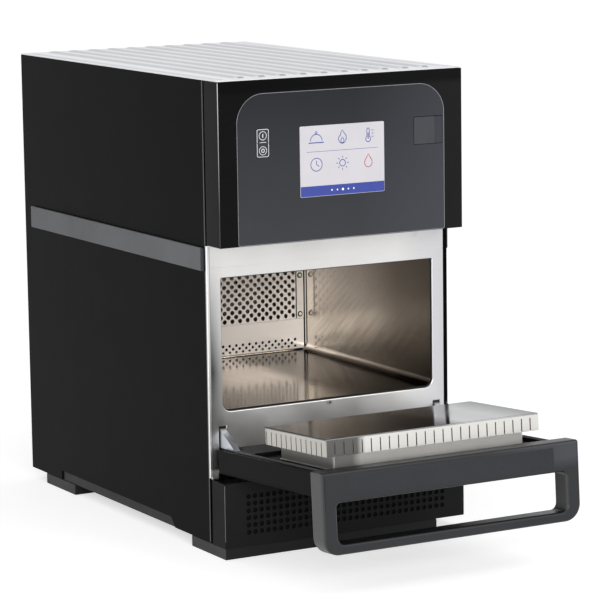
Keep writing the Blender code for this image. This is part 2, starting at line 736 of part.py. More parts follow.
def build_casing(root):
    notch_top = CASING_BOTTOM + NOTCH_HEIGHT
    outline = [(CASING_FRONT, CASING_BOTTOM), (NOTCH_FRONT, CASING_BOTTOM),
               (NOTCH_FRONT + NOTCH_SLOPE, notch_top), (NOTCH_REAR, notch_top),
               (NOTCH_REAR, CASING_BOTTOM), (BODY_DEPTH, CASING_BOTTOM),
               (BODY_DEPTH, CASING_TOP), (CASING_FRONT, CASING_TOP)]
    plate("side_panel_left", SIDE_FACING, [outline], -HALF_WIDTH, -CASING_INNER, root, GLOSS_BLACK)
    plate("side_panel_right", SIDE_FACING, [outline], CASING_INNER, HALF_WIDTH, root, GLOSS_BLACK)

    strip_top = STRIP_BOTTOM + STRIP_HEIGHT
    strip = (rectangle(STRIP_FRONT, STRIP_BOTTOM, STRIP_REAR, strip_top)[:1]
             + arc((STRIP_REAR - STRIP_CORNER, STRIP_BOTTOM + STRIP_CORNER), STRIP_CORNER, -1, 0)
             + arc((STRIP_REAR - STRIP_CORNER, strip_top - STRIP_CORNER), STRIP_CORNER, 0, 1)
             + [(STRIP_FRONT, strip_top)])
    inner = HALF_WIDTH + GAP
    outer = HALF_WIDTH + STRIP_PROUD
    for name, low, high in (("side_strip_left", -outer, -inner), ("side_strip_right", inner, outer)):
        round_edges(plate(name, SIDE_FACING, [strip], low, high, root, STRIP_GREY), STRIP_EDGE)


def build_top(root):
    top = box("top_panel", (-HALF_WIDTH, TOP_FRONT, TOP_SHEET_TOP - CASING_SHEET),
              (HALF_WIDTH, BODY_DEPTH, TOP_SHEET_TOP), root, TOP_STEEL)
    ribs = []
    for centre in centred_places(TOP_RIB_COUNT, TOP_RIB_PITCH):
        ribs.append(rounded_rectangle(centre - TOP_RIB_WIDTH / 2, TOP_RIB_FRONT,
                                      centre + TOP_RIB_WIDTH / 2, BODY_DEPTH - TOP_RIB_REAR_INSET,
                                      TOP_RIB_CORNER))
    rib_tool = plate("top_ribs", FLAT_LYING, ribs, TOP_SHEET_TOP - CASING_SHEET / 2, BODY_HEIGHT, root)
    join(top, rib_tool)


def build_rear(root):
    slots = []
    for x in centred_places(REAR_SLOT_COLUMNS, REAR_SLOT_PITCH_X):
        for row in range(REAR_SLOT_ROWS):
            z = REAR_SLOT_BOTTOM + row * REAR_SLOT_PITCH_Z
            slots.append(rectangle(x - REAR_SLOT_LENGTH / 2, z, x + REAR_SLOT_LENGTH / 2,
                                   z + REAR_SLOT_HEIGHT))
    gland_hole = ring_of_points((GLAND_X, GLAND_Z), GLAND_RADIUS + 2 * GAP, ROUND_SIDES)
    bottom = TRAY_TOP + GAP
    panel = plate("rear_panel", FRONT_FACING,
                  [rectangle(-FIT_HALF, bottom, FIT_HALF, CASING_TOP), gland_hole, *slots],
                  REAR_PANEL_FRONT, BODY_DEPTH, root, REAR_BLACK)

    inset = CASING_INNER - REAR_SCREW_INSET
    heights = (bottom + REAR_SCREW_INSET, (bottom + CASING_TOP) / 2, CASING_TOP - REAR_SCREW_INSET)
    screws = joined_cylinders("rear_screws", "Y", REAR_SCREW_RADIUS, BODY_DEPTH - CASING_SHEET / 2,
                              BODY_DEPTH + REAR_SCREW_PROUD,
                              [(x, z) for x in (-inset, inset) for z in heights], root)
    join(panel, screws)

    gland = cylinder("cord_gland", "Y", GLAND_RADIUS, REAR_PANEL_FRONT - GLAND_INSIDE,
                     BODY_DEPTH + GLAND_PROUD, (GLAND_X, GLAND_Z), root, MATTE_BLACK)
    nut = cylinder("gland_nut", "Y", GLAND_NUT_RADIUS, BODY_DEPTH + GAP, BODY_DEPTH + GLAND_PROUD,
                   (GLAND_X, GLAND_Z), root, sides=HOLE_SIDES)
    bore = cylinder("gland_bore", "Y", GLAND_BORE, REAR_PANEL_FRONT - GLAND_INSIDE - CUT_OVERRUN,
                    BODY_DEPTH + GLAND_PROUD + CUT_OVERRUN, (GLAND_X, GLAND_Z), root)
    cut(join(gland, nut), bore)


def build_base(root):
    front = VENT_SIDE_DEPTH + GAP
    rear = REAR_PANEL_FRONT - GAP
    tray = box("base_tray", (-FIT_HALF, front, CASING_BOTTOM), (FIT_HALF, rear, CASING_BOTTOM
               + TRAY_FLANGE_HEIGHT), root, ZINC)
    inner_half = FIT_HALF - CASING_SHEET
    cut(tray, box("tray_inside", (-inner_half, front - CUT_OVERRUN, TRAY_TOP),
                  (inner_half, rear + CUT_OVERRUN, CASING_BOTTOM + TRAY_FLANGE_HEIGHT + CUT_OVERRUN),
                  root))


def build_housing(root):
    housing = box("control_housing", (-HALF_WIDTH, 0, HOUSING_BOTTOM),
                  (HALF_WIDTH, HOUSING_DEPTH, CASING_TOP), root,
                  HOUSING_BLACK, HOUSING_EDGE)
    inside = box("housing_inside",
                 (-HALF_WIDTH + HOUSING_WALL, HOUSING_WALL, HOUSING_BOTTOM + HOUSING_WALL),
                 (HALF_WIDTH - HOUSING_WALL, HOUSING_DEPTH + CUT_OVERRUN, CASING_TOP - HOUSING_WALL),
                 root)
    window = plate("fascia_window", FRONT_FACING,
                   [rounded_rectangle(-FASCIA_HALF, HOUSING_BOTTOM - FASCIA_CORNER, FASCIA_HALF,
                                      FASCIA_TOP, FASCIA_CORNER / 2, FASCIA_CORNER)],
                   -CUT_OVERRUN, HOUSING_WALL + GAP, root)
    cut(housing, inside, window)


def key_pocket():
    return (KEY_LEFT, KEY_BOTTOM, KEY_LEFT + KEY_WIDTH, KEY_TOP)


def build_fascia(root):
    half = FASCIA_HALF - GAP
    screen_half = SCREEN_WIDTH / 2
    outline = ([(-half, HOUSING_BOTTOM + GAP), (half, HOUSING_BOTTOM + GAP)]
               + arc((half + GAP - FASCIA_CORNER, FASCIA_TOP - FASCIA_CORNER), FASCIA_CORNER - GAP, 0, 1)
               + arc((FASCIA_CORNER - half - GAP, FASCIA_TOP - FASCIA_CORNER), FASCIA_CORNER - GAP, 1, 2))
    screen_hole = rounded_rectangle(-screen_half, SCREEN_BOTTOM, screen_half, SCREEN_TOP,
                                    SCREEN_CORNER)
    left, bottom, right, top = key_pocket()
    key_hole = rounded_rectangle(left - GAP, bottom - GAP, right + GAP, top + GAP, KEY_CORNER + GAP)
    cover_hole = rectangle(COVER_LEFT - GAP, COVER_BOTTOM - GAP, COVER_LEFT + COVER_WIDTH + GAP,
                           COVER_TOP + GAP)
    plate("control_fascia", FRONT_FACING, [outline, screen_hole, key_hole, cover_hole],
          FASCIA_RECESS, FASCIA_BACK, root, FASCIA_GREY)


def build_display(root):
    half = SCREEN_WIDTH / 2 - GAP
    glass = rounded_rectangle(-half, SCREEN_BOTTOM + GAP, half, SCREEN_TOP - GAP, SCREEN_CORNER)
    plate("touch_screen", FRONT_FACING, [glass], FASCIA_RECESS + SCREEN_GLASS_RECESS, FASCIA_BACK,
          root, SCREEN_PALE)
    module_back = FASCIA_BACK + GAP + MODULE_DEPTH
    box("display_module", (-half - MODULE_MARGIN, FASCIA_BACK + GAP, SCREEN_BOTTOM - MODULE_MARGIN),
        (half + MODULE_MARGIN, module_back, SCREEN_TOP + MODULE_MARGIN),
        root, BRIGHT_METAL)
    box("control_board", (-BOARD_HALF, module_back + GAP, SCREEN_BOTTOM - BOARD_BELOW_SCREEN),
        (BOARD_HALF, module_back + GAP + BOARD_THICKNESS, SCREEN_TOP + BOARD_ABOVE_SCREEN),
        root, BOARD_GREEN)


def build_keys(root):
    left, bottom, right, top = key_pocket()
    middle = (bottom + top) / 2
    low_key = (arc((right - KEY_CORNER, bottom + KEY_CORNER), KEY_CORNER, -1, 0)
               + [(right, middle - GAP / 2), (left, middle - GAP / 2)]
               + arc((left + KEY_CORNER, bottom + KEY_CORNER), KEY_CORNER, 2, 3))
    high_key = ([(left, middle + GAP / 2), (right, middle + GAP / 2)]
                + arc((right - KEY_CORNER, top - KEY_CORNER), KEY_CORNER, 0, 1)
                + arc((left + KEY_CORNER, top - KEY_CORNER), KEY_CORNER, 1, 2))
    for name, outline in (("key_off", low_key), ("key_on", high_key)):
        plate(name, FRONT_FACING, [outline], FASCIA_RECESS, FASCIA_BACK, root, KEY_GREY)

    board_front = FASCIA_BACK + GAP
    board_back = FASCIA_BACK + KEY_TRAVEL_ROOM + KEY_BOARD_THICKNESS
    board = box("key_board", (left - KEY_BOARD_MARGIN, board_front, bottom - KEY_BOARD_MARGIN),
                (right + KEY_BOARD_MARGIN, board_back, top + KEY_BOARD_MARGIN),
                root, BOARD_GREEN)
    rim = KEY_WELL_MARGIN
    cut(board, box("key_well", (left - rim, board_front - CUT_OVERRUN, bottom - rim),
                   (right + rim, FASCIA_BACK + KEY_TRAVEL_ROOM, top + rim), root))


def build_data_port(root):
    """The flap turns about a pin line at its right edge, in a pocket of the fascia."""
    axis_x = COVER_LEFT + COVER_WIDTH - COVER_THICKNESS / 2
    cover_front = FASCIA_RECESS - GAP
    axis_y = cover_front + COVER_THICKNESS / 2
    hinge = make_empty("usb_cover_axis", (axis_x, axis_y, 0), (0, 0, 0), root)
    half = COVER_THICKNESS / 2
    left = COVER_LEFT - axis_x
    section = arc((0, 0), half, -1, 1) + [(left, half), (left, -half)]
    cover = plate("usb_cover", FLAT_LYING, [section], COVER_BOTTOM, COVER_TOP, hinge, COVER_GREY)
    groove = left + COVER_WIDTH - COVER_GRIP_STRIP
    cut(cover, box("cover_groove", (groove, -half - CUT_OVERRUN, COVER_BOTTOM - CUT_OVERRUN),
                   (groove + COVER_GROOVE_WIDTH, COVER_GROOVE_DEPTH - half, COVER_TOP + CUT_OVERRUN),
                   hinge))

    front = HOUSING_WALL + GAP
    right = COVER_LEFT + COVER_WIDTH + PORT_MARGIN
    port = box("usb_port", (COVER_LEFT - PORT_MARGIN, front, COVER_BOTTOM - PORT_MARGIN),
               (right, front + PORT_PLATE, COVER_TOP + PORT_MARGIN), root, MATTE_BLACK)
    x = PORT_X
    z = (COVER_BOTTOM + COVER_TOP) / 2
    body = box("port_body", (x - PORT_BODY_WIDTH / 2, front + PORT_PLATE / 2, z - PORT_BODY_HEIGHT / 2),
               (x + PORT_BODY_WIDTH / 2, front + PORT_BODY_DEPTH, z + PORT_BODY_HEIGHT / 2), root)
    mouth = box("port_mouth",
                (x - PORT_MOUTH_WIDTH / 2, front - CUT_OVERRUN, z - PORT_MOUTH_HEIGHT / 2),
                (x + PORT_MOUTH_WIDTH / 2, front + PORT_MOUTH_DEPTH, z + PORT_MOUTH_HEIGHT / 2), root)
    tongue = box("port_tongue",
                 (x - PORT_TONGUE_WIDTH / 2, front + PORT_PLATE, z - PORT_TONGUE_HEIGHT / 2),
                 (x + PORT_TONGUE_WIDTH / 2, front + PORT_MOUTH_DEPTH + PORT_PLATE,
                  z + PORT_TONGUE_HEIGHT / 2), root)
    join(cut(join(port, body), mouth), tongue)


def stay_slot_boxes():
    low = STAY_INNER_X - STAY_SLOT_CLEARANCE
    high = STAY_INNER_X + STAY_WIDTH + STAY_SLOT_CLEARANCE
    return [(-high, -low), (low, high)]


def ear_slot_boxes():
    low = EAR_INNER_X - EAR_SIDE_CLEARANCE
    high = EAR_INNER_X + EAR_SHEET + EAR_SIDE_CLEARANCE
    return [(-high, -low), (low, high)]


def build_front_frame(root):
    frame = box("front_frame", (-FIT_HALF, FRAME_FRONT, FRAME_BOTTOM),
                (FIT_HALF, FRAME_BACK + FRAME_RETURN, CASING_TOP), root,
                FRAME_STEEL, FRAME_EDGE)
    half = FIT_HALF - CASING_SHEET
    back = FRAME_BACK + FRAME_RETURN + CUT_OVERRUN
    inside = box("frame_inside", (-half, FRAME_BACK, FRAME_BOTTOM - CUT_OVERRUN),
                 (half, back, CASING_TOP + CUT_OVERRUN), root)
    mouth = plate("frame_mouth", FRONT_FACING, [cavity_outline(0)], FRAME_FRONT - CUT_OVERRUN,
                  FRAME_BACK + CUT_OVERRUN, root)
    window_half = HALF_WIDTH - FRAME_TOP_WINDOW_SIDE
    window = box("frame_window",
                 (-window_half, FRAME_FRONT - CUT_OVERRUN, HOUSING_BOTTOM + FRAME_TOP_WINDOW_RISE),
                 (window_half, FRAME_BACK + CUT_OVERRUN, CASING_TOP - FRAME_TOP_WINDOW_INSET), root)
    air_half = HALF_WIDTH - FRAME_AIR_WINDOW_SIDE
    air = box("frame_air_window", (-air_half, FRAME_FRONT - CUT_OVERRUN, FRAME_AIR_WINDOW_BOTTOM),
              (air_half, FRAME_BACK + CUT_OVERRUN, FRAME_AIR_WINDOW_TOP), root)
    slots = [((low, FRAME_FRONT - CUT_OVERRUN, FRAME_SLOT_BOTTOM),
              (high, FRAME_BACK + CUT_OVERRUN, FRAME_SLOT_TOP)) for low, high in stay_slot_boxes()]
    ear_reach = EAR_HALF_HEIGHT + EAR_SIDE_CLEARANCE
    slots += [((low, FRAME_FRONT - CUT_OVERRUN, HINGE_Z - ear_reach),
               (high, FRAME_BACK + CUT_OVERRUN, HINGE_Z + ear_reach)) for low, high in ear_slot_boxes()]
    cut(frame, inside, mouth, window, air, joined_boxes("frame_slots", slots, root))


def cavity_outline(growth):
    """The cavity's outline across the oven, grown outwards by a sheet's thickness."""
    half = OPENING_HALF + growth
    return rounded_rectangle(-half, OPENING_BOTTOM - growth, half, OPENING_TOP + growth,
                             OPENING_LOWER_CORNER + growth, OPENING_UPPER_CORNER + growth)


def build_cavity(root):
    liner = plate("cavity_liner", FRONT_FACING, [cavity_outline(LINER_SHEET)], LINER_FRONT,
                  CAVITY_BACK + LINER_SHEET, root, CAVITY_STEEL)
    inside = plate("liner_inside", FRONT_FACING, [cavity_outline(0)], LINER_FRONT - CUT_OVERRUN,
                   CAVITY_BACK, root)
    windows = []
    half = GRILLE_HALF - GRILLE_FLANGE - WINDOW_MARGIN
    for low, high in (grille_rows()[0], return_rows()[0]):
        windows.append(((-half, CAVITY_BACK - CUT_OVERRUN, low - WINDOW_MARGIN),
                        (half, CAVITY_BACK + LINER_SHEET + CUT_OVERRUN, high + WINDOW_MARGIN)))
    cut(liner, inside, joined_boxes("liner_windows", windows, root))

    inner = LINER_HALF + GAP
    outer = inner + INSULATION_SIDE
    bottom = LINER_BOTTOM - GAP
    blanket = [rectangle(-outer, bottom - INSULATION_BOTTOM, outer, INSULATION_CEILING),
               rectangle(-inner, bottom, inner, LINER_TOP + GAP)]
    insulation = plate("cavity_insulation", FRONT_FACING, blanket, LINER_FRONT, CAVITY_BACK, root,
                       INSULATION_WOOL)
    cut(insulation, waveguide_feet("insulation_holes", root, GAP))


def grille_rows():
    """The height span of the upper grille's slots, then each slot's own span."""
    rows = [(GRILLE_SLOT_BOTTOM + i * GRILLE_SLOT_PITCH,
             GRILLE_SLOT_BOTTOM + i * GRILLE_SLOT_PITCH + GRILLE_SLOT_HEIGHT)
            for i in range(GRILLE_SLOT_ROWS)]
    return (rows[0][0], rows[-1][1]), rows


def return_rows():
    rows = [(RETURN_SLOT_BOTTOM + i * RETURN_SLOT_PITCH,
             RETURN_SLOT_BOTTOM + i * RETURN_SLOT_PITCH + RETURN_SLOT_HEIGHT)
            for i in range(RETURN_SLOT_ROWS)]
    return (rows[0][0], rows[-1][1]), rows


def build_grilles(root):
    half = GRILLE_HALF
    slot_half = half - GRILLE_FLANGE - 2 * WINDOW_MARGIN
    upper = [rectangle(-slot_half, low, slot_half, high) for low, high in grille_rows()[1]]
    plate("air_grille", FRONT_FACING,
          [rectangle(-half, GRILLE_SPLIT + GAP / 2, half, OPENING_TOP - GRILLE_EDGE_INSET), *upper],
          GRILLE_FRONT, GRILLE_FRONT + GRILLE_SHEET, root, GRILLE_STEEL)
    lower = [rectangle(-slot_half, low, slot_half, high) for low, high in return_rows()[1]]
    plate("air_return_panel", FRONT_FACING,
          [rectangle(-half, OPENING_BOTTOM + GRILLE_EDGE_INSET, half, GRILLE_SPLIT - GAP / 2), *lower],
          GRILLE_FRONT, GRILLE_FRONT + GRILLE_SHEET, root, GRILLE_STEEL)
    x = half - GRILLE_FLANGE / 2
    head_back = GRILLE_FRONT - GAP
    for side, word in ((-1, "left"), (1, "right")):
        for level, z in (("low", GRILLE_SCREW_LOW), ("high", GRILLE_SCREW_HIGH)):
            cylinder("grille_screw_" + word + "_" + level, "Y", GRILLE_SCREW_RADIUS,
                     head_back - GRILLE_SCREW_HEIGHT, head_back, (side * x, z), root,
                     GRILLE_STEEL, SMALL_SIDES)


def heater_legs():
    """Where the heater's two legs pass through the chamber wall, as (X, Z)."""
    reach = HEATER_RADIUS * math.sin(HEATER_LEG_HALF_ANGLE)
    drop = HEATER_RADIUS * math.cos(HEATER_LEG_HALF_ANGLE)
    return [(side * reach, FAN_Z - drop) for side in (-1, 1)]


def build_fan_chamber(root):
    chamber = box("fan_chamber", (-CHAMBER_HALF, CHAMBER_FRONT, CHAMBER_BOTTOM),
                  (CHAMBER_HALF, CHAMBER_BACK, CHAMBER_TOP), root, ZINC)
    inside = box("chamber_inside",
                 (CHAMBER_SHEET - CHAMBER_HALF, CHAMBER_FRONT - CUT_OVERRUN,
                  CHAMBER_BOTTOM + CHAMBER_SHEET),
                 (CHAMBER_HALF - CHAMBER_SHEET, CHAMBER_BACK - CHAMBER_SHEET,
                  CHAMBER_TOP - CHAMBER_SHEET), root)
    shaft_hole = cylinder("chamber_shaft_hole", "Y", SHAFT_WALL_HOLE, CHAMBER_BACK - CHAMBER_DEPTH / 2,
                          CHAMBER_BACK + CUT_OVERRUN, (0, FAN_Z), root)
    leg_holes = joined_cylinders("chamber_leg_holes", "Y", HEATER_TUBE + 2 * GAP,
                                 CHAMBER_BACK - CHAMBER_DEPTH / 2, CHAMBER_BACK + CUT_OVERRUN,
                                 heater_legs(), root)
    cut(chamber, inside, shaft_hole, leg_holes)

    (left_x, leg_z), (right_x, _) = heater_legs()
    start = -math.pi / 2 + HEATER_LEG_HALF_ANGLE
    sweep = 2 * math.pi - 2 * HEATER_LEG_HALF_ANGLE
    path = [(right_x, HEATER_LEG_REAR, leg_z), (right_x, HEATER_Y + 2 * HEATER_TUBE, leg_z)]
    for step in range(HEATER_STEPS + 1):
        angle = start + sweep * step / HEATER_STEPS
        path.append((HEATER_RADIUS * math.cos(angle), HEATER_Y, FAN_Z + HEATER_RADIUS * math.sin(angle)))
    path += [(left_x, HEATER_Y + 2 * HEATER_TUBE, leg_z), (left_x, HEATER_LEG_REAR, leg_z)]
    tube("heater_element", path, HEATER_TUBE, root, HEATER_METAL)


def build_hot_air_fan(root):
    """The wheel turns on its shaft about a line along Y."""
    axis = make_empty("convection_fan_axis", (0, 0, FAN_Z), (0, 0, 0), root)
    back = FAN_FRONT + FAN_WIDTH
    fan = cylinder("convection_fan", "Y", FAN_RADIUS, back - FAN_DISC, back, (0, 0), axis, FAN_STEEL,
                   2 * ROUND_SIDES)
    hub = cylinder("fan_hub", "Y", FAN_HUB_RADIUS, FAN_FRONT, back - FAN_DISC / 2, (0, 0), axis)
    blades = plate("fan_blades", FRONT_FACING, fan_blade_outlines(), FAN_FRONT, back - FAN_DISC / 2, axis)
    bore = cylinder("fan_bore", "Y", SHAFT_RADIUS + GAP, FAN_FRONT - CUT_OVERRUN, back + CUT_OVERRUN,
                    (0, 0), axis)
    cut(join(fan, hub, blades), bore)
    cylinder("fan_shaft", "Y", SHAFT_RADIUS, FAN_FRONT + SHAFT_FRONT_INSET,
             MOTOR_FRONT + SHAFT_IN_MOTOR, (0, 0), axis, GROUND_STEEL)

    motor = cylinder("fan_motor", "Y", MOTOR_RADIUS, MOTOR_FRONT, MOTOR_FRONT + MOTOR_LENGTH,
                     (0, FAN_Z), root, MOTOR_METAL, 2 * ROUND_SIDES)
    flange = cylinder("motor_flange", "Y", MOTOR_FLANGE_RADIUS, MOTOR_FRONT,
                      MOTOR_FRONT + MOTOR_FLANGE, (0, FAN_Z), root, sides=2 * ROUND_SIDES)
    motor_bore = cylinder("motor_bore", "Y", SHAFT_RADIUS + SHAFT_BORE_CLEARANCE,
                          MOTOR_FRONT - CUT_OVERRUN, MOTOR_FRONT + SHAFT_IN_MOTOR + GAP,
                          (0, FAN_Z), root)
    leg_reliefs = joined_cylinders("motor_leg_reliefs", "Y", HEATER_TUBE + 2 * GAP,
                                   MOTOR_FRONT - CUT_OVERRUN, HEATER_LEG_REAR + CUT_OVERRUN,
                                   heater_legs(), root)
    cut(join(motor, flange), motor_bore, leg_reliefs)


def fan_blade_outlines():
    """Straight radial blades, each a thin rectangle turned about the wheel's centre."""
    outlines = []
    reach = FAN_RADIUS - FAN_DISC
    for index in range(FAN_BLADES):
        angle = 2 * math.pi * index / FAN_BLADES
        along = Vector((math.cos(angle), math.sin(angle)))
        across = Vector((-along.y, along.x)) * (FAN_BLADE_THICKNESS / 2)
        corners = [along * FAN_BLADE_ROOT - across, along * reach - across,
                   along * reach + across, along * FAN_BLADE_ROOT + across]
        outlines.append([tuple(corner) for corner in corners])
    return outlines


def waveguide_feet(name, root, growth, look=None):
    """Short ducts from the shelf down to the cavity's roof, one on each side."""
    low_y = WAVEGUIDE_FRONT + WAVEGUIDE_FOOT_INSET
    half = WAVEGUIDE_WIDTH / 2 - WAVEGUIDE_FOOT_INSET
    feet = []
    for side in (-1, 1):
        x = side * WAVEGUIDE_X
        feet.append(((x - half - growth, low_y - growth, LINER_TOP + GAP - 2 * growth),
                     (x + half + growth, low_y + WAVEGUIDE_FOOT_DEPTH + growth,
                      SHELF_TOP + GAP + WAVEGUIDE_SHEET)))
    return joined_boxes(name, feet, root, look)


def build_shelf(root):
    front = FRAME_BACK + FRAME_RETURN + GAP
    shelf = box("component_shelf", (-FIT_HALF, front, SHELF_BOTTOM),
                (FIT_HALF, REAR_PANEL_FRONT - GAP, SHELF_TOP), root, ZINC)
    cut(shelf, waveguide_feet("shelf_holes", root, GAP))

    low_z = SHELF_TOP + GAP
    half = WAVEGUIDE_WIDTH / 2
    for side, word in ((-1, "left"), (1, "right")):
        x = side * WAVEGUIDE_X
        guide = box("waveguide_" + word, (x - half, WAVEGUIDE_FRONT, low_z),
                    (x + half, WAVEGUIDE_FRONT + WAVEGUIDE_DEPTH, low_z + WAVEGUIDE_HEIGHT),
                    root, BRIGHT_METAL)
        foot_half = half - WAVEGUIDE_FOOT_INSET
        foot_y = WAVEGUIDE_FRONT + WAVEGUIDE_FOOT_INSET
        foot = box("guide_foot_" + word, (x - foot_half, foot_y, LINER_TOP + GAP),
                   (x + foot_half, foot_y + WAVEGUIDE_FOOT_DEPTH, low_z + WAVEGUIDE_SHEET), root)
        duct = box("guide_duct_" + word,
                   (x - foot_half + WAVEGUIDE_SHEET, foot_y + WAVEGUIDE_SHEET, LINER_TOP - CUT_OVERRUN),
                   (x + foot_half - WAVEGUIDE_SHEET, foot_y + WAVEGUIDE_FOOT_DEPTH - WAVEGUIDE_SHEET,
                    low_z + WAVEGUIDE_HEIGHT - WAVEGUIDE_SHEET), root)
        run = box("guide_run_" + word,
                  (x - half + WAVEGUIDE_SHEET, WAVEGUIDE_FRONT + WAVEGUIDE_SHEET,
                   low_z + WAVEGUIDE_SHEET),
                  (x + half - WAVEGUIDE_SHEET, WAVEGUIDE_FRONT + WAVEGUIDE_DEPTH - WAVEGUIDE_SHEET,
                   low_z + WAVEGUIDE_HEIGHT - WAVEGUIDE_SHEET), root)
        cut(join(guide, foot), duct, run)
        build_magnetron("magnetron_" + word, x, low_z + WAVEGUIDE_HEIGHT + GAP, root)


def build_magnetron(name, x, low_z, root):
    """A magnetron: a block with cooling gaps cut into both of its sides."""
    half = MAGNETRON_WIDTH / 2
    rear = WAVEGUIDE_FRONT + WAVEGUIDE_DEPTH
    front = rear - MAGNETRON_DEPTH
    body = box(name, (x - half, front, low_z), (x + half, rear, low_z + MAGNETRON_HEIGHT), root,
               BRIGHT_METAL)
    gaps = []
    middle = low_z + MAGNETRON_HEIGHT / 2
    for place_z in centred_places(MAGNETRON_FIN_COUNT, MAGNETRON_FIN_PITCH):
        low = middle + place_z - MAGNETRON_FIN / 2
        gaps.append(((x - half - CUT_OVERRUN, front - CUT_OVERRUN, low),
                     (x - half + MAGNETRON_FIN_CUT, rear + CUT_OVERRUN, low + MAGNETRON_FIN)))
        gaps.append(((x + half - MAGNETRON_FIN_CUT, front - CUT_OVERRUN, low),
                     (x + half + CUT_OVERRUN, rear + CUT_OVERRUN, low + MAGNETRON_FIN)))
    cut(body, joined_boxes(name + "_gaps", gaps, root))


def build_power_parts(root):
    cylinder("high_voltage_capacitor", "Y", CAPACITOR_RADIUS, CAPACITOR_FRONT,
             CAPACITOR_FRONT + CAPACITOR_LENGTH, (CAPACITOR_X, SHELF_TOP + GAP + CAPACITOR_RADIUS),
             root, BRIGHT_METAL, ROUND_SIDES)

    low = SHELF_TOP + GAP
    right = HALF_WIDTH - POWER_BOARD_SIDE_INSET
    rear = POWER_BOARD_FRONT + POWER_BOARD_DEPTH
    board = box("power_board", (POWER_BOARD_LEFT, POWER_BOARD_FRONT, low + POWER_BOARD_STANDOFF),
                (right, rear, low + POWER_BOARD_STANDOFF + BOARD_THICKNESS), root,
                BOARD_GREEN)
    posts = [(x, y) for x in (POWER_BOARD_LEFT + POWER_BOARD_INSET, right - POWER_BOARD_INSET)
             for y in (POWER_BOARD_FRONT + POWER_BOARD_INSET, rear - POWER_BOARD_INSET)]
    join(board, joined_cylinders("board_posts", "Z", POWER_BOARD_STANDOFF_RADIUS, low,
                                 low + POWER_BOARD_STANDOFF + BOARD_THICKNESS / 2, posts, root,
                                 sides=HOLE_SIDES))

    floor = TRAY_TOP + GAP
    t_right = TRANSFORMER_LEFT + TRANSFORMER_WIDTH
    t_rear = TRANSFORMER_FRONT + TRANSFORMER_DEPTH
    transformer = box("power_transformer", (TRANSFORMER_LEFT, TRANSFORMER_FRONT, floor),
                      (t_right, t_rear, floor + TRANSFORMER_HEIGHT), root,
                      MOTOR_METAL)
    coil = box("transformer_coil",
               (TRANSFORMER_LEFT + COIL_INSET, TRANSFORMER_FRONT - COIL_PROUD, floor + COIL_INSET),
               (t_right - COIL_INSET, t_rear + COIL_PROUD, floor + TRANSFORMER_HEIGHT - COIL_INSET),
               root, edge=COIL_EDGE)
    join(transformer, coil)


def build_cooler(root):
    """An axial fan that draws air in through the vent panel; its wheel turns about Y."""
    floor = TRAY_TOP + GAP
    centre_z = floor + COOLER_SIZE / 2
    half = COOLER_SIZE / 2
    rear = COOLER_FRONT + COOLER_DEPTH
    shroud = plate("cooling_fan_shroud", FRONT_FACING,
                   [rectangle(-half, floor, half, floor + COOLER_SIZE),
                    ring_of_points((0, centre_z), COOLER_BORE, 2 * ROUND_SIDES)],
                   COOLER_FRONT, rear, root, MATTE_BLACK)
    motor_front = rear - COOLER_MOTOR_DEPTH
    motor = cylinder("cooler_motor", "Y", COOLER_MOTOR_RADIUS, motor_front, rear, (0, centre_z), root)
    bar = COOLER_STRUT / 2
    reach = (COOLER_BORE + half) / 2
    across = box("cooler_strut_x", (-reach, rear - COOLER_STRUT, centre_z - bar),
                 (reach, rear, centre_z + bar), root)
    upright = box("cooler_strut_z", (-bar, rear - COOLER_STRUT, centre_z - reach),
                  (bar, rear, centre_z + reach), root)
    bore = cylinder("cooler_bore", "Y", COOLER_SHAFT_RADIUS + SHAFT_BORE_CLEARANCE,
                    motor_front - CUT_OVERRUN, rear - COOLER_BORE_FLOOR, (0, centre_z), root)
    cut(join(shroud, motor, across, upright), bore)

    axis = make_empty("cooling_fan_axis", (0, 0, centre_z), (0, 0, 0), root)
    rotor_rear = motor_front - GAP
    rotor_front = rotor_rear - COOLER_ROTOR_DEPTH
    rotor = cylinder("cooling_fan", "Y", COOLER_HUB_RADIUS, rotor_front, rotor_rear, (0, 0), axis,
                     MATTE_BLACK, ROUND_SIDES)
    join(rotor, cooler_blades((rotor_front + rotor_rear) / 2, axis))
    seat = cylinder("rotor_seat", "Y", COOLER_SHAFT_RADIUS + GAP,
                    rotor_front + COOLER_SEAT_WALL, rotor_rear + CUT_OVERRUN, (0, 0), axis)
    cut(rotor, seat)
    shaft_front = rotor_front + COOLER_SEAT_WALL + GAP
    cylinder("cooling_fan_shaft", "Y", COOLER_SHAFT_RADIUS, shaft_front,
             shaft_front + COOLER_SHAFT_LENGTH, (0, 0), axis, GROUND_STEEL)


def cooler_blades(middle_y, axis):
    """Pitched flat blades around the hub, as separate boxes in one mesh."""
    width = COOLER_ROTOR_DEPTH * COOLER_BLADE_WIDTH_SHARE
    root_radius = COOLER_HUB_RADIUS * COOLER_BLADE_ROOT_SHARE

    def build(shape):
        for index in range(COOLER_BLADES):
            made = bmesh.ops.create_cube(shape, size=1)["verts"]
            reach = COOLER_BLADE_RADIUS - root_radius
            bmesh.ops.scale(shape, vec=(reach, width, COOLER_BLADE_THICKNESS), verts=made)
            bmesh.ops.rotate(shape, matrix=Matrix.Rotation(COOLER_BLADE_PITCH, 3, "X"), verts=made)
            bmesh.ops.translate(shape, vec=(root_radius + reach / 2, 0, 0), verts=made)
            turn = 2 * math.pi * index / COOLER_BLADES
            bmesh.ops.rotate(shape, matrix=Matrix.Rotation(turn, 3, "Y"), verts=made)
            bmesh.ops.translate(shape, vec=(0, middle_y, 0), verts=made)

    return place(mesh_object("cooler_blades", build), axis, None)


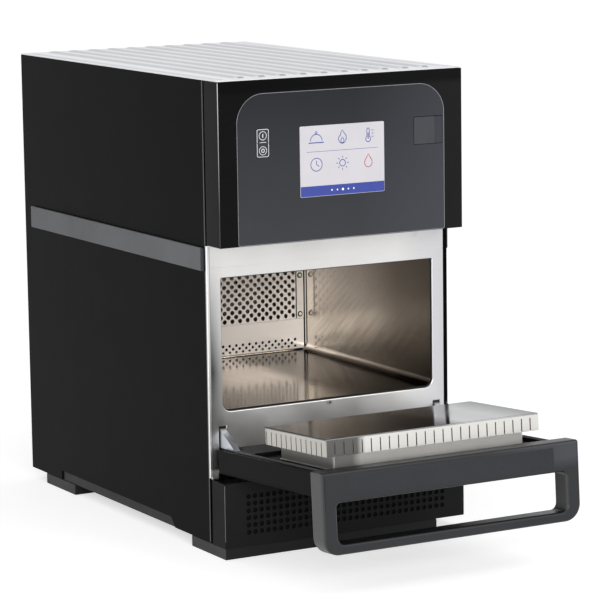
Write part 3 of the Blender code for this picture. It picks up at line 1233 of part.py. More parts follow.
def build_vent_panel(root):
    panel = box("vent_panel", (-HALF_WIDTH, 0, CASING_BOTTOM), (HALF_WIDTH, VENT_SIDE_DEPTH, VENT_TOP),
                root, VENT_BLACK)
    inner_half = HALF_WIDTH - CASING_SHEET
    inside = box("vent_inside", (-inner_half, CASING_SHEET, CASING_BOTTOM + CASING_SHEET),
                 (inner_half, VENT_SIDE_DEPTH + CUT_OVERRUN, VENT_TOP - CASING_SHEET), root)
    step = box("vent_step", (-inner_half, VENT_TOP_DEPTH, CASING_BOTTOM + CASING_SHEET),
               (inner_half, VENT_SIDE_DEPTH + CUT_OVERRUN, VENT_TOP + CUT_OVERRUN), root)
    centres = [(x, VENT_HOLE_BOTTOM + row * VENT_HOLE_PITCH_Z)
               for x in centred_places(VENT_HOLE_COLUMNS, VENT_HOLE_PITCH_X)
               for row in range(VENT_HOLE_ROWS)]
    holes = joined_cylinders("vent_holes", "Y", VENT_HOLE_RADIUS, -CUT_OVERRUN,
                             CASING_SHEET + CUT_OVERRUN, centres, root, sides=HOLE_SIDES)
    cut(panel, inside, step, holes)

    front = CASING_SHEET + GAP
    half = inner_half - GAP
    box("air_filter", (-half, front, CASING_BOTTOM + CASING_SHEET + GAP),
        (half, front + FILTER_THICKNESS, VENT_TOP - CASING_SHEET - GAP), root,
        FOAM_BLACK)


def door_boxes(spans, low_y, high_y, low_z, high_z):
    return [((low, low_y, low_z), (high, high_y, high_z)) for low, high in spans]


def build_door_pan(door):
    rim = DOOR_RIM - PAN_RIM_STEP
    inner_round = DOOR_INNER_HEEL_ROUND
    outer_round = DOOR_OUTER_HEEL_ROUND
    section = (arc((DOOR_OUTSIDE + outer_round, outer_round - DOOR_HEEL), outer_round, 2, 3)
               + arc((rim - inner_round, inner_round - DOOR_HEEL), inner_round, 3, 4)
               + [(rim, DOOR_REACH), (DOOR_OUTSIDE, DOOR_REACH)])
    pan = plate("door_outer_panel", SIDE_FACING, [section], -DOOR_HALF, DOOR_HALF, door,
                GLOSS_BLACK)
    inside = box("pan_inside", (-PAN_INNER_HALF, PAN_FLOOR, PAN_WALL - DOOR_HEEL),
                 (PAN_INNER_HALF, rim + CUT_OVERRUN, DOOR_REACH - PAN_WALL), door)
    notches = joined_boxes("pan_notches",
                           door_boxes(ear_slot_boxes(), PAN_FLOOR, rim + CUT_OVERRUN,
                                      -DOOR_HEEL - CUT_OVERRUN, PAN_WALL - DOOR_HEEL + CUT_OVERRUN),
                           door)
    screw_holes = joined_cylinders("pan_screw_holes", "Z", HANDLE_SCREW_RADIUS + 2 * GAP,
                                   DOOR_REACH - PAN_WALL - CUT_OVERRUN, DOOR_REACH + CUT_OVERRUN,
                                   handle_screw_places(), door)
    cut(pan, inside, notches, screw_holes)


def handle_screw_places():
    outer = DOOR_HALF - HANDLE_SCREW_SIDE_INSET
    return [(x, DOOR_RIM - HANDLE_SCREW_DROP)
            for x in (-outer, -HANDLE_SCREW_INNER_X, HANDLE_SCREW_INNER_X, outer)]


def build_surround(door):
    """The black ring that closes the pan around the choke's pedestal."""
    low = DOOR_RIM - SURROUND_THICKNESS
    near = PAN_WALL - DOOR_HEEL + GAP
    far = DOOR_REACH - PAN_WALL - GAP
    hole = rectangle(-PEDESTAL_HALF - GAP, PEDESTAL_NEAR - GAP, PEDESTAL_HALF + GAP, PEDESTAL_FAR + GAP)
    ring = plate("door_surround", FRONT_FACING,
                 [rectangle(-SURROUND_HALF, near, SURROUND_HALF, far), hole], low, DOOR_RIM, door,
                 SURROUND_BLACK)
    groove_half = SURROUND_HALF - SURROUND_RIM
    inner_half = PEDESTAL_HALF + GAP + SURROUND_LAND
    groove = plate("surround_groove", FRONT_FACING,
                   [rounded_rectangle(-groove_half, SURROUND_HEEL_LAND, groove_half,
                                      far - SURROUND_RIM, SURROUND_CORNER),
                    rectangle(-inner_half, PEDESTAL_NEAR - GAP - SURROUND_LAND, inner_half,
                              PEDESTAL_FAR + GAP + SURROUND_LAND)],
                   DOOR_RIM - SURROUND_GROOVE_DEPTH, DOOR_RIM + CUT_OVERRUN, door)
    ears = joined_boxes("surround_ear_slots",
                        door_boxes(ear_slot_boxes(), low - CUT_OVERRUN, DOOR_RIM + CUT_OVERRUN,
                                   near - CUT_OVERRUN, EAR_NOTCH_REACH), door)
    fit = 2 * GAP
    stay_spans = [(side_low - fit, side_high + fit) for side_low, side_high in stay_spans_x()]
    stays = joined_boxes("surround_stay_slots",
                         door_boxes(stay_spans, low - CUT_OVERRUN, DOOR_RIM + CUT_OVERRUN,
                                    near - CUT_OVERRUN, STAY_BASE_HEEL + fit), door)
    cut(ring, groove, ears, stays)


def build_choke(door):
    """The slotted stainless plate that fills the cavity's mouth when the door is shut."""
    low = DOOR_RIM + CHOKE_UNDERSIDE
    high = DOOR_RIM + CHOKE_TOP
    choke = box("choke_plate", (-CHOKE_HALF, low - CHOKE_EDGE, CHOKE_NEAR),
                (CHOKE_HALF, high, CHOKE_FAR), door, CHOKE_STEEL, CHOKE_EDGE)
    half = CHOKE_HALF - CHOKE_SHEET
    inside = box("choke_inside", (-half, low - CHOKE_EDGE - CUT_OVERRUN, CHOKE_NEAR + CHOKE_SHEET),
                 (half, high - CHOKE_SHEET, CHOKE_FAR - CHOKE_SHEET), door)
    trim = box("choke_trim", (-DOOR_HALF, low - CHOKE_EDGE - CUT_OVERRUN, CHOKE_NEAR - CUT_OVERRUN),
               (DOOR_HALF, low, CHOKE_FAR + CUT_OVERRUN), door)
    top = high - CHOKE_SLOT_TOP_LAND
    bottom = low - CUT_OVERRUN
    slot = CHOKE_SLOT_WIDTH / 2
    slots = []
    for x in centred_places(CHOKE_SLOTS_ACROSS, CHOKE_SLOT_PITCH):
        for wall in (CHOKE_NEAR, CHOKE_FAR - CHOKE_SHEET):
            slots.append(((x - slot, bottom, wall - CHOKE_SHEET),
                          (x + slot, top, wall + 2 * CHOKE_SHEET)))
    middle = (CHOKE_NEAR + CHOKE_FAR) / 2
    for place_z in centred_places(CHOKE_SLOTS_ALONG, CHOKE_SLOT_PITCH):
        z = middle + place_z
        for wall in (-CHOKE_HALF, half):
            slots.append(((wall - CHOKE_SHEET, bottom, z - slot),
                          (wall + 2 * CHOKE_SHEET, top, z + slot)))
    cut(choke, inside, trim, joined_boxes("choke_slots", slots, door))

    floor = PAN_FLOOR + GAP
    roof = high - CHOKE_SHEET - GAP
    pedestal = box("choke_pedestal", (-PEDESTAL_HALF, floor, PEDESTAL_NEAR),
                   (PEDESTAL_HALF, roof, PEDESTAL_FAR), door, CHOKE_STEEL)
    cut(pedestal, box("pedestal_inside",
                      (PEDESTAL_SHEET - PEDESTAL_HALF, floor - CUT_OVERRUN,
                       PEDESTAL_NEAR + PEDESTAL_SHEET),
                      (PEDESTAL_HALF - PEDESTAL_SHEET, roof - PEDESTAL_SHEET,
                       PEDESTAL_FAR - PEDESTAL_SHEET), door))


def build_handle(door):
    """A moulded loop; its outline is across the door and its depth runs along the door."""
    half = HANDLE_HALF
    bottom = DOOR_RIM - HANDLE_DROP
    top = DOOR_RIM + HANDLE_RISE
    window_half = half - HANDLE_SIDE
    outer = rounded_rectangle(-half, bottom, half, top, HANDLE_OUTER_CORNER, HANDLE_TOP_CORNER,
                              HANDLE_CORNER_STEPS)
    window = rounded_rectangle(-window_half, bottom + HANDLE_BAR, window_half, DOOR_RIM - HANDLE_BAND,
                               HANDLE_WINDOW_CORNER)
    handle = plate("door_handle", FLAT_LYING, [outer, window], HANDLE_NEAR, HANDLE_FAR, door,
                   HANDLE_GREY)
    round_edges(handle, HANDLE_EDGE, 2, HANDLE_SHARP_ANGLE)
    label_top = top - LABEL_TOP_INSET
    label_half = half - LABEL_SIDE_INSET
    recess = plate("label_recess", FLAT_LYING,
                   [rounded_rectangle(-label_half, label_top - LABEL_HEIGHT, label_half, label_top,
                                      LABEL_CORNER)],
                   HANDLE_FAR - LABEL_DEPTH, HANDLE_FAR + CUT_OVERRUN, door)
    cut(handle, recess)

    # The handle's screws pass through the pan's end wall, with their heads inside the pan.
    head_far = DOOR_REACH - PAN_WALL - GAP
    screws = joined_cylinders("handle_screws", "Z", HANDLE_SCREW_RADIUS, head_far - HANDLE_SCREW_HEAD / 2,
                              HANDLE_NEAR + HANDLE_SCREW_GRIP, handle_screw_places(), door)
    heads = joined_cylinders("handle_screw_heads", "Z", HANDLE_SCREW_HEAD_RADIUS,
                             head_far - HANDLE_SCREW_HEAD, head_far, handle_screw_places(), door)
    join(handle, screws, heads)


def shut_from_open(y, z):
    """Turns a place given in the open pose, from the hinge axis, into the shut door's frame."""
    turn = -OPEN_ANGLE
    return (y * math.cos(turn) - z * math.sin(turn), y * math.sin(turn) + z * math.cos(turn))


def stay_spans_x():
    low = STAY_INNER_X
    high = STAY_INNER_X + STAY_WIDTH
    return [(-high, -low), (low, high)]


def stay_outlines():
    """A stay's outline and its channel's, as (Y, Z) of the shut door.

    The open pose gives the sloping upper edge, from the tip on the door to the neck in the
    frame's slot, and the hook that rests on the frame's rear face and stops the door.
    """
    edge = DOOR_RIM + STAY_LOWER_EDGE
    base = PAN_FLOOR + 2 * GAP
    hook_y = FRAME_BACK - HINGE_Y + STAY_HOOK_GAP
    tail_y = hook_y + STAY_HOOK_LENGTH
    slope = math.atan2(STAY_NECK_Z - STAY_TIP_Z, hook_y - STAY_TIP_Y)
    back = shut_from_open(FRAME_BACK - HINGE_Y, STAY_TIP_Z)
    outline = [(edge, -STAY_BASE_HEEL), (edge - SURROUND_THICKNESS, -STAY_BASE_HALF),
               (base, -STAY_BASE_HALF), (base, STAY_BASE_HALF), (edge, STAY_BASE_HEEL),
               shut_from_open(STAY_TIP_Y, STAY_TIP_Z), shut_from_open(hook_y, STAY_NECK_Z),
               shut_from_open(hook_y, STAY_HOOK_TOP), shut_from_open(tail_y, STAY_HOOK_TOP),
               shut_from_open(tail_y, STAY_TAIL_BOTTOM), (edge, back[1])]

    def under_slope(y):
        return shut_from_open(y, STAY_TIP_Z + (y - STAY_TIP_Y) * math.tan(slope)
                              - STAY_SHEET / math.cos(slope))

    low = edge - CUT_OVERRUN
    end_y = tail_y - STAY_SHEET
    channel = [(low, back[1]), (low, STAY_BASE_HALF), under_slope(STAY_TIP_Y + 3 * STAY_SHEET),
               under_slope(hook_y + STAY_SHEET),
               shut_from_open(hook_y + STAY_SHEET, STAY_HOOK_TOP - STAY_SHEET),
               shut_from_open(end_y, STAY_HOOK_TOP - STAY_SHEET),
               shut_from_open(end_y, STAY_TAIL_BOTTOM - 2 * CUT_OVERRUN)]
    return outline, channel


def build_hinges(root, door):
    for side, word in ((-1, "left"), (1, "right")):
        span = sorted((side * STAY_INNER_X, side * (STAY_INNER_X + STAY_WIDTH)))
        outline, channel = stay_outlines()
        stay = plate("door_stay_" + word, SIDE_FACING, [outline], span[0], span[1], door, ZINC)
        hollow = plate("stay_channel_" + word, SIDE_FACING, [channel], span[0] + STAY_SHEET,
                       span[1] - STAY_SHEET, door)
        pin_hole = cylinder("stay_pin_hole_" + word, "X", PIN_RADIUS + 2 * GAP, span[0] - CUT_OVERRUN,
                            span[1] + CUT_OVERRUN, (0, 0), door)
        cut(stay, hollow, pin_hole)
        pin_span = sorted((side * (EAR_INNER_X - PIN_END_INNER),
                           side * (STAY_INNER_X + STAY_WIDTH + PIN_END_OUTER)))
        cylinder("hinge_pin_" + word, "X", PIN_RADIUS, pin_span[0], pin_span[1], (0, 0), door,
                 GROUND_STEEL)
        build_hinge_bracket(side, word, root)


def build_hinge_bracket(side, word, root):
    """A plate behind the frame whose ear reaches out through a slot and holds the pin."""
    plate_span = sorted((side * EAR_INNER_X, side * (EAR_INNER_X + EAR_SHEET)))
    ear = EAR_HALF_HEIGHT
    back = FRAME_BACK + GAP
    outline = (arc((HINGE_Y, HINGE_Z), ear, 3, 1, 2 * ARC_STEPS)
               + [(back, HINGE_Z + ear), (back, BRACKET_TOP), (BRACKET_REAR, BRACKET_TOP),
                  (BRACKET_REAR, BRACKET_BOTTOM), (back, BRACKET_BOTTOM), (back, HINGE_Z - ear)])
    bracket = plate("hinge_bracket_" + word, SIDE_FACING, [outline], plate_span[0], plate_span[1],
                    root, ZINC)
    flange_span = sorted((side * (EAR_INNER_X + EAR_SHEET / 2),
                          side * (EAR_INNER_X - BRACKET_FLANGE_WIDTH)))
    flange = box("bracket_flange_" + word, (flange_span[0], back, BRACKET_BOTTOM),
                 (flange_span[1], back + EAR_SHEET, BRACKET_TOP), root)
    bore = cylinder("bracket_bore_" + word, "X", PIN_RADIUS + PIN_BORE_CLEARANCE,
                    plate_span[0] - CUT_OVERRUN, plate_span[1] + CUT_OVERRUN, (HINGE_Y, HINGE_Z), root)
    cut(join(bracket, flange), bore)
    near = EAR_INNER_X + EAR_SHEET + GAP
    switch_span = sorted((side * near, side * (near + SWITCH_WIDTH)))
    box("door_switch_" + word, (switch_span[0], SWITCH_FRONT, SWITCH_BOTTOM),
        (switch_span[1], SWITCH_FRONT + SWITCH_DEPTH, SWITCH_BOTTOM + SWITCH_HEIGHT), root,
        MATTE_BLACK)


def centre_on_origin(root):
    """Moves the root so that the oven's depth, handle to gland, is centred on Y = 0."""
    bpy.context.view_layer.update()
    graph = bpy.context.evaluated_depsgraph_get()
    depths = []
    for obj in PARTS.objects:
        if obj.type == "MESH":
            evaluated = obj.evaluated_get(graph)
            depths += [(evaluated.matrix_world @ vertex.co).y for vertex in evaluated.data.vertices]
    root.location.y -= (min(depths) + max(depths)) / 2
    bpy.context.view_layer.update()


def build_oven():
    root = make_empty("oven_root", (0, 0, 0), (0, 0, 0), None)
    build_feet(root)
    build_base(root)
    build_casing(root)
    build_top(root)
    build_rear(root)
    build_housing(root)
    build_fascia(root)
    build_display(root)
    build_keys(root)
    build_data_port(root)
    build_front_frame(root)
    build_cavity(root)
    build_grilles(root)
    build_fan_chamber(root)
    build_hot_air_fan(root)
    build_shelf(root)
    build_power_parts(root)
    build_cooler(root)
    build_vent_panel(root)
    door = make_empty("door_axis", (0, HINGE_Y, HINGE_Z), (OPEN_ANGLE, 0, 0), root)
    build_door_pan(door)
    build_surround(door)
    build_choke(door)
    build_handle(door)
    build_hinges(root, door)
    centre_on_origin(root)


clear_scene()
PARTS = make_collection("speed_oven")
CUTTERS = make_collection("cutters")
build_oven()
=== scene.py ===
"""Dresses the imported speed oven: finer pieces, procedural materials and a plain studio.

Metres. X runs across the oven, the front faces -Y, and the feet stand on Z = 0.
FRONT is the Y of the control housing's face; depths are counted back from it.
"""
import math
import random

import bmesh
import bpy
from mathutils import Matrix, Vector


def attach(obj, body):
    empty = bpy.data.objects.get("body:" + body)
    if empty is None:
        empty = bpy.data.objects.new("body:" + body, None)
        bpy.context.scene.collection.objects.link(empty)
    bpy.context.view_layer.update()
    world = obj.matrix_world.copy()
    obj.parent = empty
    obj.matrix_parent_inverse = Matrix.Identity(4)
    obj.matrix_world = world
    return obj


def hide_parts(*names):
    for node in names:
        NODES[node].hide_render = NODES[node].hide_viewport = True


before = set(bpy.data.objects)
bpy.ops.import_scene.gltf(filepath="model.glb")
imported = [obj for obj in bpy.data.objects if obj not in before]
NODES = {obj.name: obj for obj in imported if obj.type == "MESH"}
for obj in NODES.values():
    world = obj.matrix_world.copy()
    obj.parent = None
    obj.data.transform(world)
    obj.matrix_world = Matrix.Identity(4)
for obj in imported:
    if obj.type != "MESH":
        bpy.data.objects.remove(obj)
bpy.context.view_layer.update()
MM = 0.001
FRONT = -0.164762
UPRIGHT = Matrix.Rotation(math.radians(90), 4, "X")
FACING_RIGHT = Matrix.Rotation(math.radians(90), 4, "Z") @ UPRIGHT


def at(x=0.0, y=0.0, z=0.0):
    return Matrix.Translation((x, y, z))


DOOR = at(0, -0.154162, 0.1177) @ Matrix.Rotation(math.radians(86.2), 4, "X")


# ---- outlines, in millimetres ----------------------------------------------------------------

def rectangle(x0, y0, x1, y1):
    return [(x0, y0), (x1, y0), (x1, y1), (x0, y1)]


def rounded(points, radii, steps=8):
    """A closed outline with its corners rounded; radii is one radius, or one for each corner."""
    if not isinstance(radii, (list, tuple)):
        radii = [radii] * len(points)
    result = []
    for i, corner in enumerate(points):
        corner, radius = Vector(corner), radii[i]
        before = (Vector(points[i - 1]) - corner).normalized()
        after = (Vector(points[(i + 1) % len(points)]) - corner).normalized()
        if radius <= 0:
            result.append(tuple(corner))
            continue
        half = before.angle(after) / 2
        reach = radius / math.tan(half)
        centre = corner + (before + after).normalized() * (radius / math.sin(half))
        start = corner + before * reach - centre
        end = corner + after * reach - centre
        sweep = start.angle_signed(end)
        for step in range(steps + 1):
            turned = start.copy()
            turned.rotate(Matrix.Rotation(-sweep * step / steps, 2))
            result.append(tuple(centre + turned))
    return result


def rounded_box_outline(x0, y0, x1, y1, radii, steps=8):
    return rounded(rectangle(x0, y0, x1, y1), radii, steps)


def circle(x, y, radius, sides=20):
    return [(x + radius * math.cos(2 * math.pi * i / sides), y + radius * math.sin(2 * math.pi * i / sides))
            for i in range(sides)]


# ---- meshes ----------------------------------------------------------------------------------

def curve_to_mesh(curve):
    holder = bpy.data.objects.new("holder", curve)
    bpy.context.scene.collection.objects.link(holder)
    graph = bpy.context.evaluated_depsgraph_get()
    mesh = bpy.data.meshes.new_from_object(holder.evaluated_get(graph))
    bpy.data.objects.remove(holder)
    bpy.data.curves.remove(curve)
    work = bmesh.new()
    work.from_mesh(mesh)
    bmesh.ops.remove_doubles(work, verts=work.verts, dist=0.0005)
    work.to_mesh(mesh)
    work.free()
    mesh.transform(Matrix.Scale(MM, 4))
    return mesh


def plate(loops, thickness, bevel=0.0, steps=2):
    """A plate with its outline and holes in XY (mm), centred on Z = 0, with rounded edges."""
    curve = bpy.data.curves.new("plate", "CURVE")
    curve.dimensions = "2D"
    curve.fill_mode = "BOTH"
    curve.extrude = thickness / 2 - bevel
    curve.bevel_depth = bevel
    curve.bevel_resolution = steps
    curve.offset = -bevel
    for loop in loops:
        spline = curve.splines.new("POLY")
        spline.points.add(len(loop) - 1)
        for point, (x, y) in zip(spline.points, loop):
            point.co = (x, y, 0, 1)
        spline.use_cyclic_u = True
    return curve_to_mesh(curve)


def wire(points, radius, closed=False, steps=3):
    """A round wire through the points (mm)."""
    curve = bpy.data.curves.new("wire", "CURVE")
    curve.dimensions = "3D"
    curve.bevel_depth = radius
    curve.bevel_resolution = steps
    curve.use_fill_caps = not closed
    spline = curve.splines.new("POLY")
    spline.points.add(len(points) - 1)
    for point, place in zip(spline.points, points):
        point.co = (*place, 1)
    spline.use_cyclic_u = closed
    return curve_to_mesh(curve)


def block(low, high, radius=0.0, segments=3):
    """A box (mm) with every edge rounded."""
    work = bmesh.new()
    bmesh.ops.create_cube(work, size=1)
    low, high = Vector(low) * MM, Vector(high) * MM
    for vertex in work.verts:
        vertex.co = Vector((low[i] if vertex.co[i] < 0 else high[i]) for i in range(3))
    if radius:
        bmesh.ops.bevel(work, geom=work.edges[:], offset=radius * MM, segments=segments, profile=0.5,
                        affect="EDGES")
    mesh = bpy.data.meshes.new("block")
    work.to_mesh(mesh)
    work.free()
    return mesh


def turned(profile, sides=24, star=0.0, points=6):
    """A solid turned about Z from (radius, height) pairs in mm; rings below the rim may be starred."""
    work = bmesh.new()
    rings = []
    for entry in profile:
        radius, height = entry[:2]
        lobed = star if len(entry) > 2 else 0.0
        ring = []
        for i in range(sides):
            angle = 2 * math.pi * i / sides
            reach = radius * (1 + lobed * math.cos(points * angle))
            ring.append(work.verts.new((reach * math.cos(angle) * MM, reach * math.sin(angle) * MM, height * MM)))
        rings.append(ring)
    for lower, upper in zip(rings, rings[1:]):
        for i in range(sides):
            j = (i + 1) % sides
            work.faces.new((lower[i], lower[j], upper[j], upper[i]))
    work.faces.new(list(reversed(rings[0])))
    work.faces.new(rings[-1])
    bmesh.ops.recalc_face_normals(work, faces=work.faces)
    mesh = bpy.data.meshes.new("turned")
    work.to_mesh(mesh)
    work.free()
    return mesh


def screw(radius, height):
    """A domed screw head with a six-pointed socket; its seat is at Z = 0."""
    return turned([(radius * 0.98, 0), (radius, height * 0.25), (radius * 0.93, height * 0.6),
                   (radius * 0.74, height * 0.87), (radius * 0.56, height), (radius * 0.5, height, 1),
                   (radius * 0.46, height * 0.35, 1)], sides=36, star=0.16)


def moved(mesh, place):
    mesh.transform(place)
    return mesh


def joined(*meshes):
    work = bmesh.new()
    for mesh in meshes:
        work.from_mesh(mesh)
        bpy.data.meshes.remove(mesh)
    result = bpy.data.meshes.new("joined")
    work.to_mesh(result)
    work.free()
    return result


def piece(name, mesh, look, body="cabinet", stands_for=(), sharp=32, weighted=True):
    """Puts a finished mesh, already in its place, on its body with its material."""
    obj = bpy.data.objects.new(name, mesh)
    mesh.name = name
    bpy.context.scene.collection.objects.link(obj)
    mesh.materials.clear()
    mesh.materials.append(look)
    mesh.shade_smooth()
    mesh.set_sharp_from_angle(angle=math.radians(sharp))
    if weighted:
        obj.modifiers.new("normals", "WEIGHTED_NORMAL").keep_sharp = True
    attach(obj, body)
    if stands_for:
        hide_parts(*stands_for)
    return obj


def keep(node, look, bevel=0.0, segments=2):
    """Keeps a CAD node, with softer edges and a better material."""
    obj = NODES[node]
    obj.data.materials.clear()
    obj.data.materials.append(look)
    if bevel:
        soft = obj.modifiers.new("edges", "BEVEL")
        soft.width = bevel * MM
        soft.segments = segments
        soft.limit_method = "ANGLE"
        soft.angle_limit = math.radians(40)
        soft.harden_normals = True
    return obj


# ---- materials -------------------------------------------------------------------------------

def linear(code):
    """A linear colour from a hexadecimal sRGB code."""
    channels = [int(code[i:i + 2], 16) / 255 for i in (0, 2, 4)]
    return tuple(c / 12.92 if c <= 0.04045 else ((c + 0.055) / 1.055) ** 2.4 for c in channels)


def shade(colour, factor):
    return tuple(min(1.0, c * factor) for c in colour)


class Look:
    """Builds one node material around a principled shader."""

    def __init__(self, name, **sockets):
        self.material = bpy.data.materials.new(name)
        self.material.use_nodes = True
        tree = self.material.node_tree
        self.nodes, self.links = tree.nodes, tree.links
        self.shader = self.nodes["Principled BSDF"]
        for socket, value in sockets.items():
            self.set(socket.replace("_", " "), value)
        self.place = self.nodes.new("ShaderNodeTexCoord").outputs["Object"]
        self.height = None

    def set(self, socket, value):
        target = self.shader.inputs[socket]
        if hasattr(value, "is_linked"):
            self.links.new(value, target)
        elif target.type == "RGBA":
            target.default_value = (*value, 1)
        else:
            target.default_value = value

    def node(self, kind, inputs=(), **settings):
        made = self.nodes.new(kind)
        for key, value in settings.items():
            setattr(made, key, value)
        for key, value in dict(inputs).items():
            if hasattr(value, "is_linked"):
                self.links.new(value, made.inputs[key])
            else:
                made.inputs[key].default_value = value
        return made

    def noise(self, scale, detail=2.0, roughness=0.5, stretch=(1, 1, 1), distortion=0.0, shift=(0, 0, 0)):
        mapped = self.node("ShaderNodeMapping", {"Vector": self.place, "Scale": stretch, "Location": shift})
        made = self.node("ShaderNodeTexNoise", {"Vector": mapped.outputs[0], "Scale": scale, "Detail": detail,
                                                "Roughness": roughness, "Distortion": distortion})
        return made.outputs["Fac"]

    def spots(self, scale, low, high):
        """Small round specks: 1 at their middles, 0 between them."""
        cells = self.node("ShaderNodeTexVoronoi", {"Vector": self.place, "Scale": scale})
        return self.span(cells.outputs["Distance"], high, low, 0.0, 1.0)

    def span(self, value, low, high, to_low=0.0, to_high=1.0):
        made = self.node("ShaderNodeMapRange", {"Value": value, "From Min": low, "From Max": high,
                                                "To Min": to_low, "To Max": to_high})
        return made.outputs[0]

    def math(self, operation, first, second):
        return self.node("ShaderNodeMath", {0: first, 1: second}, operation=operation).outputs[0]

    def ramp(self, value, *stops):
        made = self.node("ShaderNodeValToRGB", {"Fac": value})
        elements = made.color_ramp.elements
        while len(elements) < len(stops):
            elements.new(0.5)
        for element, (position, colour) in zip(elements, stops):
            element.position = position
            element.color = (*colour, 1)
        return made.outputs["Color"]

    def mix(self, factor, first, second, blend="MIX"):
        made = self.node("ShaderNodeMix", data_type="RGBA", blend_type=blend)
        for socket, value in ((made.inputs[0], factor), (made.inputs[6], first), (made.inputs[7], second)):
            if hasattr(value, "is_linked"):
                self.links.new(value, socket)
            elif socket.type == "RGBA":
                socket.default_value = (*value, 1)
            else:
                socket.default_value = value
        return made.outputs[2]

    def axis(self, letter):
        """The object's own coordinate along one axis."""
        split = self.node("ShaderNodeSeparateXYZ", {0: self.place})
        return split.outputs[letter]

    def bump(self, height, strength, distance):
        made = self.node("ShaderNodeBump", {"Height": height, "Strength": strength, "Distance": distance})
        if self.height is not None:
            self.links.new(self.height, made.inputs["Normal"])
        self.height = made.outputs[0]
        self.links.new(self.height, self.shader.inputs["Normal"])


def painted(name, code, roughness, specular=0.3, grain=900.0, grain_depth=0.00002, contrast=0.12, coat=0.0):
    """Paint or moulded plastic: faint mottling, uneven gloss, a fine orange peel and a little dust."""
    colour = linear(code)
    look = Look(name, Metallic=0.0, Specular_IOR_Level=specular, Coat_Weight=coat)
    cloud = look.noise(9.0, 4.0, 0.6)
    base = look.ramp(cloud, (0.3, shade(colour, 1 - contrast)), (0.7, shade(colour, 1 + contrast)))
    dust = look.math("MULTIPLY", look.spots(260.0, 0.04, 0.10), look.span(look.noise(30.0), 0.5, 0.7, 0.0, 0.22))
    look.base = look.mix(dust, base, linear("8A8884"))
    look.set("Base Color", look.base)
    look.set("Roughness", look.span(look.noise(22.0, 5.0, 0.6), 0.25, 0.75, roughness * 0.86, roughness * 1.16))
    look.bump(look.noise(grain, 3.0, 0.55), 0.25, grain_depth)
    return look


def brushed(name, code, roughness, stretch, contrast=0.06, anisotropic=0.0, scale=60.0, depth=0.00001,
            cloud_contrast=0.06, metallic=1.0):
    """Brushed sheet metal: fine lines along one axis, soft clouds, and a few scuffs."""
    colour = linear(code)
    look = Look(name, Metallic=metallic, Anisotropic=anisotropic)
    lines = look.noise(scale, 6.0, 0.65, stretch)
    cloud = look.noise(7.0, 4.0, 0.55)
    line_colour = look.ramp(lines, (0.25, shade(colour, 1 - contrast)), (0.75, shade(colour, 1 + contrast)))
    clouded = look.ramp(cloud, (0.3, (1 - cloud_contrast,) * 3), (0.7, (1.0,) * 3))
    look.base = look.mix(1.0, line_colour, clouded, "MULTIPLY")
    look.set("Base Color", look.base)
    if anisotropic:
        tangent = look.node("ShaderNodeTangent", direction_type="RADIAL", axis="Z")
        look.set("Tangent", tangent.outputs[0])
        look.set("Anisotropic Rotation", 0.25)
    uneven = look.math("ADD", look.span(lines, 0.2, 0.8, roughness * 0.8, roughness * 1.15),
                       look.span(look.noise(16.0, 3.0), 0.35, 0.7, -0.04, 0.05))
    look.set("Roughness", uneven)
    look.bump(lines, 0.3, depth)
    return look


GLOSS_BLACK = painted("gloss_black", "040404", 0.30, 0.02, 500.0, 0.00001)
HOUSING_BLACK = painted("housing_black", "0D0D0E", 0.26, 0.05, 500.0, 0.00001)
VENT_BLACK = painted("vent_black", "1E1E1E", 0.38, 0.05, 700.0, 0.00002)
DOOR_BLACK = painted("door_black", "040404", 0.30, 0.03, 600.0, 0.00001)
SURROUND_BLACK = painted("surround_black", "121213", 0.45, 0.02, 700.0, 0.00002)
REAR_BLACK = painted("rear_black", "1A1A1A", 0.42, 0.15, 900.0)
FOOT_GREY = painted("foot_grey", "343434", 0.55, 0.12, 1200.0, 0.00005)
STRIP_GREY = painted("strip_grey", "5D5F62", 0.42, 0.22, 1100.0, 0.00003)
HANDLE_GREY = painted("handle_grey", "292A2C", 0.36, 0.2, 1500.0, 0.00004)
LABEL_GREY = painted("label_grey", "292A2E", 0.28, 0.22, 900.0, 0.000004)
COVER_GREY = painted("cover_grey", "3A3C40", 0.30, 0.25, 900.0)
KEY_GREY = painted("key_grey", "303236", 0.34, 0.2, 900.0)
# the next four greys colour thin edge pieces lighter than what is round them: painted highlights
BEAD_HIGHLIGHT_GREY = painted("bead_highlight_grey", "8A8C90", 0.3, 0.4, 900.0)
EDGE_HIGHLIGHT_GREY = painted("edge_highlight_grey", "3A3A3B", 0.3, 0.3, 900.0)
VENT_EDGE_HIGHLIGHT = painted("vent_edge_highlight", "6A6A6B", 0.3, 0.3, 900.0)
CORNER_HIGHLIGHT_GREY = painted("corner_highlight_grey", "3A3A3B", 0.3, 0.3, 900.0)
STRIP_END = painted("strip_end", "38393B", 0.5, 0.1, 900.0)
MARK_GREY = painted("mark_grey", "C4C6CA", 0.45, 0.3, 900.0)
